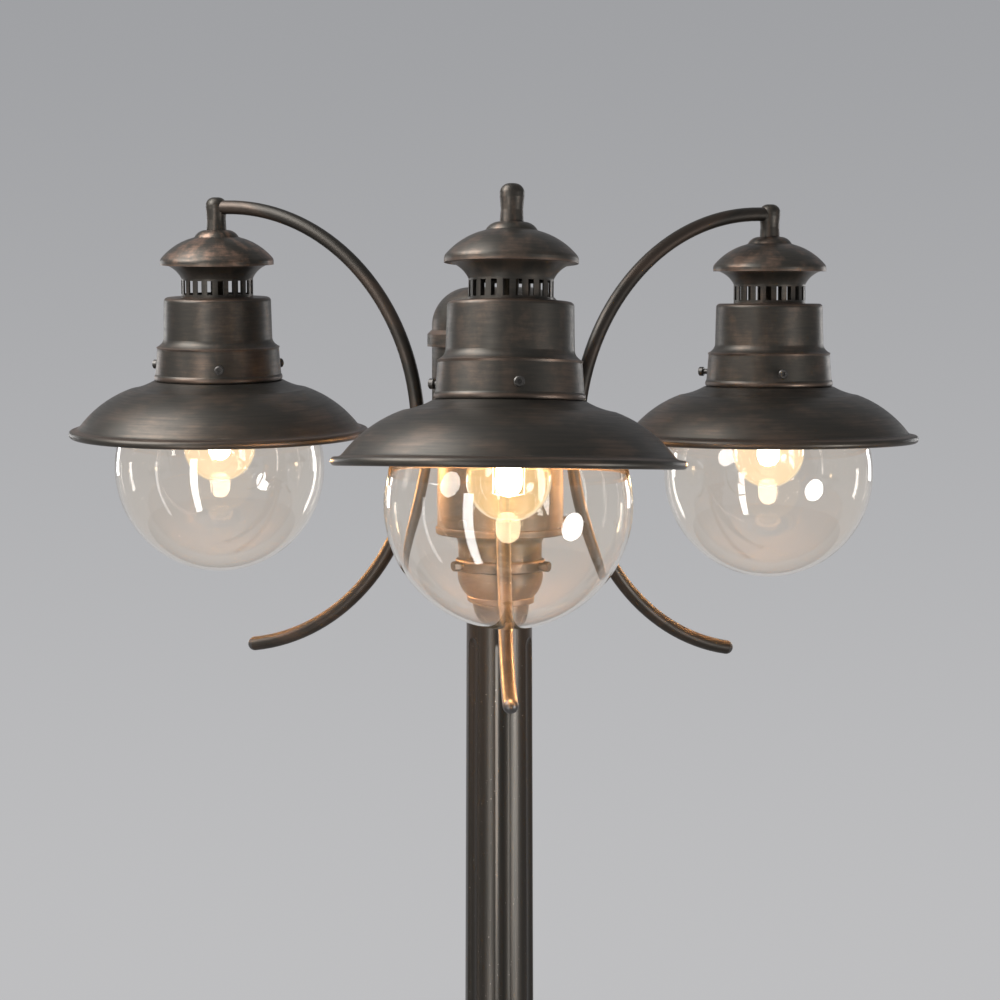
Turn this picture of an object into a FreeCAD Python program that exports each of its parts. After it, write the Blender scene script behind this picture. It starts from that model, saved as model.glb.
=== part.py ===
"""Triple head lamp post: three shaded globe lamps on curved arms around a hub on a fluted post.

Millimetres, +Z up. The origin is on the post's axis at the underside of the base plate, and the
front lamp hangs towards -Y. Each arm and its lamp are drawn once in an upright frame: X points
away from the post, and heights are drops below the centreline of the arm's top run.
"""
import FreeCAD, Part
import math
import os

from FreeCAD import Placement, Rotation, Vector

os.makedirs("parts", exist_ok=True)

# ---- driving dimensions -------------------------------------------------------------------
ARM_HEIGHT = 2092.0          # centreline of the arms' top run above the ground
HEAD_CIRCLE_R = 243.6        # a lamp's axis from the post's axis

# name: (azimuth, bottom leaning outwards, twist about the arm's end, height above nominal)
HEADS = {
    "front": (-90.0, 3.3, -0.8, 0.0),
    "right": (30.0, 0.0, 0.0, -2.4),
    "left": (150.0, 1.0, -2.3, 2.5),
}

RUNNING_GAP = 0.3            # between pieces that move past each other
SLIP = 0.05                  # radial clearance of a push or screw fit
SHEET = 1.2                  # wall of the spun pieces

# arm
ARM_R = 5.25
ARM_WALL = 1.2
ARM_RUN = 9.65               # straight from the lamp's axis to the start of the bow
ARM_STANDOFF = 13.7          # hub's wall to the arm, where it passes closest
BOW_SWEEP = {"front": 175.0, "right": 169.7, "left": 172.0}
ARM_END_GAP = 3.6            # the tube stops this far short of the lamp's axis
TIP_SPIGOT_L = 4.0

# elbow
ELBOW_R = 7.9
ELBOW_TOP_H = 7.7            # centreline of the arm to the elbow's crown
ELBOW_CROWN_R = 6.2          # round of the crown's edge
ELBOW_WAIST_R = 7.2
ELBOW_FOOT_R = 7.6
ELBOW_H = 17.0               # centreline of the arm to the elbow's foot
ELBOW_SOCKET_BLIND = 4.0     # the arm's socket runs on past the lamp's axis

# threaded nipple that hangs the head from the elbow
NIPPLE_R = 5.0
NIPPLE_BORE_R = 3.2
NIPPLE_TOP_DROP = 6.6
NUT_FLATS = 13.0
NUT_T = 4.0

# cap
CAP_BOSS_R = 17.2
CAP_BOSS_H = 5.2
CAP_R = 43.1
CAP_DOME_H = 17.8
CAP_LIP_H = 3.3

# vent cage
CAGE_R = 27.3
CAGE_MOUTH_R = 38.6
CAGE_TRUMPET_H = 10.2
CAGE_H = 24.6                # lip of the cap to the top of the barrel
CAGE_FOOT_R = 19.0
CAGE_RIM_H = 2.6             # rim tucked up inside the cap's lip
VENT_COUNT = 21
VENT_W = 4.1
VENT_H = 10.5
VENT_SILL = 2.6              # below each slot

# barrel and collar
BARREL_R = 40.7
BARREL_FOOT_R = 41.4
BARREL_EDGE_R = 3.0
BARREL_H = 62.9
BARREL_STRAIGHT_H = 31.4
COLLAR_TOP_R = 46.3
COLLAR_FOOT_R = 48.2
COLLAR_BEAD = 0.6            # the rolls above and below the collar stand proud by this
COLLAR_H = 23.5

# shade
SHADE_BRIM_R = 114.3
SHADE_H = 42.8               # shoulder to underside of the brim
SHADE_BEAD_R = 3.0
SHADE_SHOULDER_GAP = 0.5     # below the collar
SHADE_NECK_H = 19.9
SHADE_NECK_FLANGE_R = 38.6
SHADE_ROUND_R = 3.5          # between the neck and the shoulder
SHADE_LIP_R = 68.0           # where the hollow lip turns into the dome
SHADE_LIP_DROP = 6.5

# globe
GLOBE_R = 80.0
GLOBE_WALL = 2.0
GLOBE_NECK_R = 38.5
GLOBE_LIP_R = 41.2
GLOBE_LIP_H = 4.0
GASKET_T = 1.5

# retaining screws
SCREW_R = 2.0
SCREW_HEAD_R = 3.5
SCREW_HEAD_H = 4.0
SCREW_REACH = 56.8           # lamp's axis to the end of a tightened screw's head
SCREW_SOCKET_R = 1.5
SCREW_SOCKET_H = 1.6
SCREW_TURN = 4.0             # the first screw is this many degrees past the outward side
SCREWS_PER_HEAD = 3

# lampholder and bulb
HOLDER_R = 19.5
HOLDER_H = 44.0
HOLDER_BOSS_R = 8.5
HOLDER_BOSS_H = 8.0
HOLDER_GAP = 2.9             # lock nut to the top of the holder
HOLDER_SHELL_H = 27.0
HOLDER_RIM_H = 7.0
BULB_CAP_R = 13.2
BULB_THREAD_DEPTH = 1.0
BULB_THREAD_PITCH = 3.62
BULB_THREAD_TURNS = 5
BULB_CAP_H = 27.0
BULB_CONTACT_R = 4.8
BULB_CONTACT_H = 2.4
BULB_R = 27.5
BULB_L = 104.5
BULB_GLASS_WALL = 0.8
FILAMENT_R = 0.7
FILAMENT_SPAN = 22.0
STEM_R = 2.6
SUPPORT_R = 0.45

# flex
LEAD_R = 1.9
LEAD_TURN_R = 8.0            # bend down to the terminal block
LEAD_ENTRY_R = 4.0           # bend from the bracket into the arm

# arm bracket
BRACKET_FLANGE_R = 13.0
BRACKET_FLANGE_T = 4.2
BRACKET_NECK_R = 9.0
BRACKET_NOSE = 4.5           # metal beyond the arm's tube
BRACKET_TAIL = 9.5           # thread that stands inside the hub
BRACKET_BORE_R = 2.6

# hub
HUB_R = 48.7
HUB_WALL = 3.0
HUB_ABOVE = 108.3            # brackets' axes to the top of the lid
HUB_BELOW = 65.7             # brackets' axes to the top of the socket casting
LID_SHOULDER_R = 28.0
LID_H = 30.8                 # top of the lid to the top of its band
LID_BAND_R = 52.0
LID_BAND_H = 11.9
LID_BAND_CHAMFER = 3.0
LID_WALL = 2.5
SEAL_T = 1.5
SEAL_W = 2.6
SOCKET_RIM_R = 50.2
SOCKET_RIM_H = 6.0
SOCKET_SPIGOT_H = 9.0
SOCKET_NECK_R = 32.3
SOCKET_NECK_H = 11.0
SOCKET_FLARE_H = 8.0
SOCKET_COLLAR_R = 34.8
SOCKET_COLLAR_H = 10.0
SOCKET_BOWL_H = 23.0
SOCKET_LIP_H = 7.0
SOCKET_LIP_R = 27.2
CABLE_HOLE_R = 11.0
HUB_SCREW_R = 2.0
HUB_SCREW_HEAD_R = 3.5
HUB_SCREW_HEAD_H = 2.2
HUB_SCREW_TURN = 24.0        # past the middle between two arms
BLOCK_X = 38.0
BLOCK_Y = 32.0
BLOCK_H = 15.0
BLOCK_LEG_H = 10.0
BLOCK_LEG_T = 3.0

# post
POST_TOP_R = 23.6
POST_FOOT_R = 31.0
POST_WALL = 4.0
POST_INSERT = 55.0           # length inside the hub's socket
FLUTE_COUNT = 6
FLUTE_TURN = 4.0             # the flutes are this many degrees past the arms
FLUTE_W = 11.0
FLUTE_DEPTH = 2.0
FLUTE_TOP_GAP = 14.0         # socket to the top of the flutes
FLUTE_FOOT_GAP = 40.0        # base cover to the foot of the flutes
SET_SCREW_R = 3.0
SET_SCREW_HEAD_R = 4.2
SET_SCREW_HEAD_H = 5.0
SET_SCREW_SHANK = 3.2        # shows between the collar and the head
SET_SCREW_COUNT = 3

# base
PLATE_R = 100.0
PLATE_T = 10.0
PLATE_EDGE_R = 3.0
BOLT_CIRCLE_R = 75.0
BOLT_HOLE_R = 5.5
BOLT_COUNT = 3
CABLE_ENTRY_R = 15.0
SPIGOT_H = 90.0
SPIGOT_WALL = 6.0
FOOT_SCREW_HEIGHT = 48.0
COVER_R = 94.0
COVER_H = 118.0
COVER_SKIRT_H = 13.0
COVER_WALL = 3.0
COVER_STEP = 7.0
COVER_NECK_H = 26.0
COVER_NECK_WALL = 4.5

# ---- heights that follow from the stack of a lamp -------------------------------------------
CAP_DROP = ELBOW_H
LIP_DROP = CAP_DROP + CAP_BOSS_H + CAP_DOME_H + CAP_LIP_H
BARREL_DROP = LIP_DROP + CAGE_H
COLLAR_FOOT_DROP = BARREL_DROP + BARREL_H
COLLAR_DROP = COLLAR_FOOT_DROP - COLLAR_H
SHOULDER_DROP = COLLAR_FOOT_DROP + SHADE_SHOULDER_GAP
SHADE_NECK_R = COLLAR_TOP_R - SHEET - 2 * SLIP
SHADE_NECK_DROP = SHOULDER_DROP - SHADE_NECK_H
GASKET_DROP = SHADE_NECK_DROP + SHEET + SLIP
GLOBE_DROP = GASKET_DROP + GASKET_T + SLIP
SHADE_SHOULDER_R = SHADE_NECK_R + SHADE_ROUND_R
GLOBE_CENTRE_DROP = (SHOULDER_DROP - SHADE_ROUND_R + math.sqrt(
    (GLOBE_R + RUNNING_GAP + SHEET + SHADE_ROUND_R)**2 - SHADE_SHOULDER_R**2))
SCREW_DROP = GLOBE_DROP + GLOBE_LIP_H + SCREW_R + 0.5 * RUNNING_GAP
NUT_DROP = BARREL_DROP + SHEET
HOLDER_DROP = NUT_DROP + NUT_T + HOLDER_GAP
HOLDER_BODY_DROP = HOLDER_DROP + HOLDER_BOSS_H
HOLDER_MOUTH_DROP = HOLDER_BODY_DROP + HOLDER_H
BULB_DROP = HOLDER_MOUTH_DROP - HOLDER_SHELL_H + 3.5
BULB_CENTRE_DROP = BULB_DROP + BULB_L - BULB_R

# ---- places of the bow and the hub ------------------------------------------------------------
BOW_CENTRE_X = HEAD_CIRCLE_R - ARM_RUN
BRACKET_X = HUB_R + ARM_STANDOFF + ARM_R
BOW_R = BOW_CENTRE_X - BRACKET_X
ARM_BORE_R = ARM_R - ARM_WALL
LID_TOP_DROP = BOW_R - HUB_ABOVE
LID_BAND_DROP = LID_TOP_DROP + LID_H
LID_BAND_FOOT_DROP = LID_BAND_DROP + LID_BAND_H
HUB_TOP_DROP = LID_BAND_DROP + LID_BAND_CHAMFER + SEAL_T
SOCKET_TOP_DROP = BOW_R + HUB_BELOW
SOCKET_FOOT_DROP = (SOCKET_TOP_DROP + SOCKET_RIM_H + SOCKET_FLARE_H + SOCKET_NECK_H
                    + SOCKET_COLLAR_H + SOCKET_BOWL_H + SOCKET_LIP_H)
POST_TOP = ARM_HEIGHT - SOCKET_FOOT_DROP + POST_INSERT
BETWEEN_ARMS = (-30.0, 90.0, 210.0)

AXIS_X = Vector(1, 0, 0)
AXIS_Y = Vector(0, 1, 0)
AXIS_Z = Vector(0, 0, 1)
ORIGIN = Vector(0, 0, 0)


# ---- drawing helpers --------------------------------------------------------------------------
def save(node, solids):
    """Write the solids of one node."""
    Part.makeCompound(solids).exportStep("parts/" + node + ".step")


def edges_through(path):
    """Edges of a path of (radius, drop) points; ((r, d), (r, d)) is an arc by way of the first."""
    at = Vector(path[0][0], 0, -path[0][1])
    edges = []
    for step in path[1:]:
        if isinstance(step[0], tuple):
            via, end = (Vector(r, 0, -drop) for r, drop in step)
            edges.append(Part.Arc(at, via, end).toShape())
        else:
            end = Vector(step[0], 0, -step[1])
            edges.append(Part.makeLine(at, end))
        at = end
    return edges


def turned(*path):
    """Solid of revolution about Z whose section is the closed path."""
    wire = Part.Wire(edges_through(path + (path[0],)))
    return Part.Face(wire).revolve(ORIGIN, AXIS_Z, 360)


def spun(wall, *path):
    """Sheet of one thickness turned about Z. The path is its outer skin, from the top down."""
    section = Part.Wire(edges_through(path)).makeOffset2D(-wall, 2, True, True)
    return section.revolve(ORIGIN, AXIS_Z, 360)


def rod(radius, start, end):
    """Round bar from one point to another."""
    run = end - start
    return Part.makeCylinder(radius, run.Length, start, run)


def upright(radius, drop_top, drop_foot):
    """Round bar on the Z axis between two drops."""
    return rod(radius, Vector(0, 0, -drop_foot), Vector(0, 0, -drop_top))


def around(shape, angles):
    """Copies of the shape turned about Z."""
    return [shape.copy().rotate(ORIGIN, AXIS_Z, angle) for angle in angles]


def tube_along(radius, edges):
    """Round tube whose centreline is a smooth chain of lines and arcs."""
    path = Part.Wire(edges)
    start = path.Edges[0].firstVertex().Point
    heading = path.Edges[0].tangentAt(path.Edges[0].FirstParameter)
    ring = Part.Wire(Part.Circle(start, heading, radius).toShape())
    return path.makePipeShell([ring], True, False)


def hex_prism(flats, height):
    """Hexagonal prism standing on the XY plane."""
    corner = flats / math.sqrt(3)
    points = [Vector(corner, 0, 0)]
    for k in range(1, 7):
        turn = math.radians(60 * k)
        points.append(Vector(corner * math.cos(turn), corner * math.sin(turn), 0))
    return Part.Face(Part.makePolygon(points)).extrude(AXIS_Z * height)


# ---- frames -----------------------------------------------------------------------------------
def arm_frame(head):
    """Upright frame of an arm: X away from the post, Z = 0 on its top run."""
    azimuth, _, _, rise = HEADS[head]
    return Placement(Vector(0, 0, ARM_HEIGHT + rise), Rotation(AXIS_Z, azimuth))


def head_tilt(head):
    """Lean of a lamp, about the end of its arm."""
    _, lean, twist, _ = HEADS[head]
    return Rotation(AXIS_Y, -lean).multiply(Rotation(AXIS_X, twist))


def head_frame(head):
    """Frame of a lamp, on the arm's end, with the lamp's own lean."""
    return arm_frame(head).multiply(Placement(Vector(HEAD_CIRCLE_R, 0, 0), head_tilt(head)))


def set_in(frame, shape):
    """A copy of the shape, moved from its drawing frame to its place."""
    moved = shape.copy()
    moved.Placement = frame.multiply(moved.Placement)
    return moved


def hub_frame():
    return Placement(Vector(0, 0, ARM_HEIGHT), Rotation())


# ---- arm --------------------------------------------------------------------------------------
def bow_point(angle, radius=BOW_R):
    """Point of the bow at an angle from its top, towards the post."""
    turn = math.radians(angle)
    return Vector(BOW_CENTRE_X - radius * math.sin(turn), 0, radius * math.cos(turn) - BOW_R)


def bow_edge(start, end):
    """Arc of the bow's centreline between two angles."""
    return Part.Arc(bow_point(start), bow_point((start + end) / 2), bow_point(end)).toShape()


def arm_round(radius, start_x, sweep):
    """Solid bar along the arm, from start_x through the bow."""
    run = Part.makeLine(Vector(start_x, 0, 0), bow_point(0))
    return tube_along(radius, [run, bow_edge(0, sweep)])


def arm(head):
    start_x = HEAD_CIRCLE_R - ARM_END_GAP
    tube = arm_round(ARM_R, start_x, BOW_SWEEP[head])
    bore = arm_round(ARM_BORE_R, start_x, BOW_SWEEP[head])
    lead_hole = rod(BRACKET_BORE_R, Vector(BRACKET_X - 2 * ARM_R, 0, -BOW_R), bow_point(90))
    return tube.cut(bore).cut(lead_hole)


def arm_tip(head):
    """Rounded plug in the tail of the arm."""
    spigot = ARM_BORE_R - SLIP
    round_45 = ARM_R * math.sqrt(0.5)
    plug = turned((0, -TIP_SPIGOT_L), (spigot, -TIP_SPIGOT_L), (spigot, 0), (ARM_R, 0),
                  ((round_45, round_45), (0, ARM_R)))
    turn = math.radians(BOW_SWEEP[head])
    heading = Vector(-math.cos(turn), 0, -math.sin(turn))
    plug.Placement = Placement(bow_point(BOW_SWEEP[head]), Rotation(Vector(0, 0, -1), heading))
    return plug


def bracket(head):
    """Boss on the hub's wall that holds the bow where it passes closest to the post."""
    end_x = BRACKET_X + ARM_R + BRACKET_NOSE
    flange_x = HUB_R + BRACKET_FLANGE_T
    nose_r = BRACKET_NECK_R - 3.0
    boss = turned((0, -HUB_R + 8), (BRACKET_FLANGE_R, -HUB_R + 8), (BRACKET_FLANGE_R, -flange_x + 1),
                  (BRACKET_FLANGE_R - 1, -flange_x), (BRACKET_NECK_R + 1, -flange_x),
                  (BRACKET_NECK_R, -flange_x - 1), (BRACKET_NECK_R, -end_x + 3),
                  ((BRACKET_NECK_R - 0.9, -end_x + 0.9), (nose_r, -end_x)), (0, -end_x))
    boss.rotate(ORIGIN, AXIS_Y, 90)
    wall = Part.makeCylinder(HUB_R, 4 * BRACKET_FLANGE_R, Vector(0, 0, -2 * BRACKET_FLANGE_R))
    tail = rod(NIPPLE_R, Vector(HUB_R - HUB_WALL - BRACKET_TAIL, 0, 0), Vector(flange_x, 0, 0))
    boss = boss.cut(wall).fuse(tail)
    boss = boss.cut(rod(BRACKET_BORE_R, ORIGIN, Vector(BRACKET_X, 0, 0)))
    boss.translate(Vector(0, 0, -BOW_R))
    return boss.cut(arm_round(ARM_R + SLIP, HEAD_CIRCLE_R, BOW_SWEEP[head]))


def nut():
    """Lock nut with its lower face on the XY plane."""
    return hex_prism(NUT_FLATS, NUT_T).cut(Part.makeCylinder(NIPPLE_R + SLIP, NUT_T))


def bracket_nut():
    """Nut on the bracket's tail, against the inside of the hub's wall."""
    corner = NUT_FLATS / math.sqrt(3)
    seat_x = math.sqrt((HUB_R - HUB_WALL)**2 - corner**2)
    piece = nut()
    piece.rotate(ORIGIN, AXIS_Y, 90)
    piece.translate(Vector(seat_x - NUT_T, 0, -BOW_R))
    return piece


def arm_lead(head):
    """Flex from the terminal block through the bracket and the bow, and down into the holder."""
    inlet_x = BOW_CENTRE_X - math.sqrt((BOW_R + LEAD_ENTRY_R)**2 - LEAD_ENTRY_R**2)
    entry = math.degrees(math.asin(LEAD_ENTRY_R / (BOW_R + LEAD_ENTRY_R)))
    joined = bow_point(90 - entry)
    small = Vector(inlet_x, 0, LEAD_ENTRY_R - BOW_R)
    half = math.radians((90 - entry) / 2)
    small_mid = small + Vector(math.sin(half), 0, -math.cos(half)) * LEAD_ENTRY_R
    down_x = BLOCK_X / 2 - LEAD_TURN_R + 2
    block_top = -SOCKET_TOP_DROP + SOCKET_SPIGOT_H + BLOCK_LEG_H + BLOCK_H - HEADS[head][3] + SLIP
    bend = Vector(down_x + LEAD_TURN_R, 0, -BOW_R - LEAD_TURN_R)
    bend_mid = bend + Vector(-1, 0, 1).normalize() * LEAD_TURN_R
    rise = [Part.makeLine(Vector(down_x, 0, block_top), Vector(down_x, 0, bend.z)),
            Part.Arc(Vector(down_x, 0, bend.z), bend_mid, Vector(bend.x, 0, -BOW_R)).toShape(),
            Part.makeLine(Vector(bend.x, 0, -BOW_R), Vector(inlet_x, 0, -BOW_R)),
            Part.Arc(Vector(inlet_x, 0, -BOW_R), small_mid, joined).toShape(),
            bow_edge(90 - entry, 0),
            Part.makeLine(bow_point(0), Vector(HEAD_CIRCLE_R - ARM_R, 0, 0))]
    half_turn = ARM_R * math.sqrt(0.5)
    fall = [Part.Arc(Vector(-ARM_R, 0, 0), Vector(half_turn - ARM_R, 0, half_turn - ARM_R),
                     Vector(0, 0, -ARM_R)).toShape(),
            Part.makeLine(Vector(0, 0, -ARM_R), Vector(0, 0, -HOLDER_BODY_DROP - 1))]
    knuckle = Part.makeSphere(LEAD_R, Vector(HEAD_CIRCLE_R - ARM_R, 0, 0))
    run = set_in(arm_frame(head), tube_along(LEAD_R, rise).fuse(knuckle))
    return run.fuse(set_in(head_frame(head), tube_along(LEAD_R, fall)))


# ---- lamp head --------------------------------------------------------------------------------
def elbow(head):
    """Round-topped knuckle. Its socket keeps to the arm, and its body leans with the lamp."""
    corner = ELBOW_CROWN_R * (1 - math.sqrt(0.5))
    body = turned((0, -ELBOW_TOP_H), (ELBOW_R - ELBOW_CROWN_R, -ELBOW_TOP_H),
                  ((ELBOW_R - corner, corner - ELBOW_TOP_H),
                   (ELBOW_R, ELBOW_CROWN_R - ELBOW_TOP_H)),
                  (ELBOW_R, 0.06 * ELBOW_H),
                  ((0.4 * ELBOW_R + 0.6 * ELBOW_WAIST_R, 0.3 * ELBOW_H),
                   (ELBOW_WAIST_R, 0.55 * ELBOW_H)),
                  (ELBOW_FOOT_R, ELBOW_H), (0, ELBOW_H))
    socket = rod(ARM_R + SLIP, Vector(-2 * ELBOW_R, 0, 0), Vector(ELBOW_SOCKET_BLIND, 0, 0))
    socket.Placement = Placement(ORIGIN, head_tilt(head).inverted())
    return body.cut(socket).cut(upright(NIPPLE_R + SLIP, 0, ELBOW_H))


def nipple():
    tube = upright(NIPPLE_R, NIPPLE_TOP_DROP, HOLDER_BODY_DROP)
    return tube.cut(upright(NIPPLE_BORE_R, NIPPLE_TOP_DROP, HOLDER_BODY_DROP))


def cap():
    boss_foot = CAP_DROP + CAP_BOSS_H
    dome_foot = boss_foot + CAP_DOME_H
    return spun(SHEET,
                (NIPPLE_R + 2 * SLIP, CAP_DROP),
                (ELBOW_FOOT_R + 1, CAP_DROP),
                ((0.79 * CAP_BOSS_R, CAP_DROP + 0.33 * CAP_BOSS_H), (CAP_BOSS_R - 0.5, boss_foot)),
                (CAP_BOSS_R + 0.6, boss_foot + 0.5),
                ((0.76 * CAP_R, boss_foot + 0.41 * CAP_DOME_H),
                 (CAP_R - 1.1, dome_foot - 2.2)),
                ((CAP_R - 0.3, dome_foot - 0.9), (CAP_R, dome_foot + 0.3)),
                (CAP_R, LIP_DROP))


def vent_cage():
    rim_r = CAP_R - SHEET - RUNNING_GAP
    neck_drop = LIP_DROP + CAGE_TRUMPET_H
    cage = spun(SHEET,
                (rim_r, LIP_DROP - CAGE_RIM_H),
                (rim_r, LIP_DROP),
                (CAGE_MOUTH_R, LIP_DROP + 0.1),
                ((CAGE_R + 0.38 * (CAGE_MOUTH_R - CAGE_R), LIP_DROP + 0.42 * CAGE_TRUMPET_H),
                 (CAGE_R, neck_drop)),
                (CAGE_R, BARREL_DROP),
                (CAGE_FOOT_R, BARREL_DROP))
    slot_foot = BARREL_DROP - VENT_SILL
    slot = Part.makeBox(2 * CAGE_R, VENT_W, VENT_H, Vector(CAGE_FOOT_R, -VENT_W / 2, -slot_foot))
    pitch = 360.0 / VENT_COUNT
    return cage.cut(around(slot, [(k + 0.5) * pitch for k in range(VENT_COUNT)]))


def collar_r(drop):
    """Outer radius of the plain part of the collar."""
    share = (drop - COLLAR_DROP) / COLLAR_H
    return COLLAR_TOP_R + share * (COLLAR_FOOT_R - COLLAR_TOP_R)


def barrel():
    straight_foot = BARREL_DROP + BARREL_STRAIGHT_H
    roll_drop = COLLAR_DROP - 1.6
    foot_roll_drop = COLLAR_FOOT_DROP - 4.6
    mid_r = (BARREL_FOOT_R + COLLAR_TOP_R) / 2
    mid_drop = (straight_foot + roll_drop) / 2 + 1.2
    corner = BARREL_EDGE_R * (1 - math.sqrt(0.5))
    shell = spun(SHEET,
                 (NIPPLE_R + 2 * SLIP, BARREL_DROP),
                 (BARREL_R - BARREL_EDGE_R, BARREL_DROP),
                 ((BARREL_R - corner, BARREL_DROP + corner),
                  (BARREL_R, BARREL_DROP + BARREL_EDGE_R)),
                 (BARREL_FOOT_R, straight_foot),
                 ((BARREL_FOOT_R + 0.8, mid_drop - 2.0), (mid_r, mid_drop)),
                 ((COLLAR_TOP_R - 0.4, mid_drop + 1.5), (COLLAR_TOP_R + COLLAR_BEAD, roll_drop)),
                 (COLLAR_TOP_R, COLLAR_DROP),
                 (collar_r(foot_roll_drop), foot_roll_drop),
                 ((COLLAR_FOOT_R + COLLAR_BEAD, COLLAR_FOOT_DROP - 2.2),
                  (COLLAR_FOOT_R, COLLAR_FOOT_DROP)))
    return shell.cut(screw_holes())


def shade():
    bend = SHADE_ROUND_R * (1 - math.sqrt(0.5))
    lip_drop = SHOULDER_DROP + SHADE_LIP_DROP
    bead_drop = SHOULDER_DROP + SHADE_H - 2 * SHADE_BEAD_R
    bead_r = SHADE_BRIM_R - SHADE_BEAD_R
    dome_r = bead_r - 5.0
    dome_drop = bead_drop - 2.2
    shell = spun(SHEET,
                 (SHADE_NECK_FLANGE_R, SHADE_NECK_DROP),
                 (SHADE_NECK_R, SHADE_NECK_DROP),
                 (SHADE_NECK_R, SHOULDER_DROP - SHADE_ROUND_R),
                 ((SHADE_NECK_R + bend, SHOULDER_DROP - bend), (SHADE_SHOULDER_R, SHOULDER_DROP)),
                 (SHADE_SHOULDER_R + 1.0, SHOULDER_DROP + 0.1),
                 ((SHADE_SHOULDER_R + 0.5 * (SHADE_LIP_R - SHADE_SHOULDER_R), lip_drop - 2.4),
                  (SHADE_LIP_R, lip_drop)),
                 ((SHADE_LIP_R + 0.57 * (dome_r - SHADE_LIP_R),
                   lip_drop + 0.42 * (dome_drop - lip_drop)),
                  (dome_r, dome_drop)),
                 ((dome_r + 1.8, dome_drop + 1.6), (bead_r, bead_drop)),
                 ((SHADE_BRIM_R, bead_drop + SHADE_BEAD_R), (bead_r, bead_drop + 2 * SHADE_BEAD_R)))
    return shell.cut(screw_holes())


def globe():
    """Blown glass: lip, neck and ball, open at the neck, of one wall."""
    ball_drop = GLOBE_CENTRE_DROP - math.sqrt(GLOBE_R**2 - GLOBE_NECK_R**2)
    foot_drop = GLOBE_CENTRE_DROP + GLOBE_R
    inner_r = GLOBE_NECK_R - GLOBE_WALL
    inner_ball = GLOBE_R - GLOBE_WALL
    inner_ball_drop = GLOBE_CENTRE_DROP - math.sqrt(inner_ball**2 - inner_r**2)
    lip_foot = GLOBE_DROP + GLOBE_LIP_H
    return turned((inner_r, GLOBE_DROP + 1),
                  ((inner_r + 0.3, GLOBE_DROP + 0.3), (inner_r + 1, GLOBE_DROP)),
                  (GLOBE_LIP_R - 1, GLOBE_DROP),
                  ((GLOBE_LIP_R, GLOBE_DROP + GLOBE_LIP_H / 2), (GLOBE_LIP_R - 1, lip_foot)),
                  (GLOBE_NECK_R, lip_foot),
                  (GLOBE_NECK_R, ball_drop),
                  ((GLOBE_R, GLOBE_CENTRE_DROP), (0, foot_drop)),
                  (0, foot_drop - GLOBE_WALL),
                  ((inner_ball, GLOBE_CENTRE_DROP), (inner_r, inner_ball_drop)))


def gasket():
    return turned((SHADE_NECK_FLANGE_R, GASKET_DROP), (SHADE_NECK_R - SHEET - SLIP, GASKET_DROP),
                  (SHADE_NECK_R - SHEET - SLIP, GASKET_DROP + GASKET_T),
                  (SHADE_NECK_FLANGE_R, GASKET_DROP + GASKET_T))


def screw_angles():
    return [SCREW_TURN + k * 360.0 / SCREWS_PER_HEAD for k in range(SCREWS_PER_HEAD)]


def screw_holes():
    """Holes of the retaining screws through the collar and the shade's neck."""
    hole = rod(SCREW_R + SLIP, Vector(GLOBE_NECK_R, 0, -SCREW_DROP),
               Vector(SCREW_REACH, 0, -SCREW_DROP))
    return around(hole, screw_angles())


def retaining_screw():
    """Thumb screw, tightened: its tip stands under the globe's lip."""
    head_x = SCREW_REACH - SCREW_HEAD_H
    edge = 0.6
    screw = turned((0, -GLOBE_NECK_R - RUNNING_GAP), (SCREW_R, -GLOBE_NECK_R - RUNNING_GAP),
                   (SCREW_R, -head_x), (SCREW_HEAD_R - edge, -head_x),
                   (SCREW_HEAD_R, -head_x - edge), (SCREW_HEAD_R, -SCREW_REACH + edge),
                   (SCREW_HEAD_R - edge, -SCREW_REACH), (SCREW_SOCKET_R, -SCREW_REACH),
                   (SCREW_SOCKET_R, -SCREW_REACH + SCREW_SOCKET_H),
                   (0, -SCREW_REACH + SCREW_SOCKET_H))
    screw.rotate(ORIGIN, AXIS_Y, 90)
    screw.translate(Vector(0, 0, -SCREW_DROP))
    return screw


def lampholder():
    shell_drop = HOLDER_MOUTH_DROP - HOLDER_SHELL_H
    rim_drop = HOLDER_MOUTH_DROP - HOLDER_RIM_H
    shell_r = BULB_CAP_R + RUNNING_GAP
    body = turned((NIPPLE_R + SLIP, HOLDER_DROP), (HOLDER_BOSS_R, HOLDER_DROP),
                  (HOLDER_BOSS_R, HOLDER_BODY_DROP - 1),
                  ((HOLDER_R - 3, HOLDER_BODY_DROP + 1.5), (HOLDER_R - 0.5, HOLDER_BODY_DROP + 9)),
                  (HOLDER_R - 0.5, rim_drop), (HOLDER_R, rim_drop + 0.5),
                  (HOLDER_R, HOLDER_MOUTH_DROP - 1), (HOLDER_R - 1, HOLDER_MOUTH_DROP),
                  (shell_r, HOLDER_MOUTH_DROP), (shell_r, shell_drop), (0, shell_drop),
                  (0, shell_drop - 4), (NIPPLE_BORE_R, shell_drop - 4),
                  (NIPPLE_BORE_R, HOLDER_BODY_DROP), (NIPPLE_R + SLIP, HOLDER_BODY_DROP))
    contact = upright(BULB_CONTACT_R - 1, shell_drop - 1, BULB_DROP - RUNNING_GAP)
    return body.fuse(contact)


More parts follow.
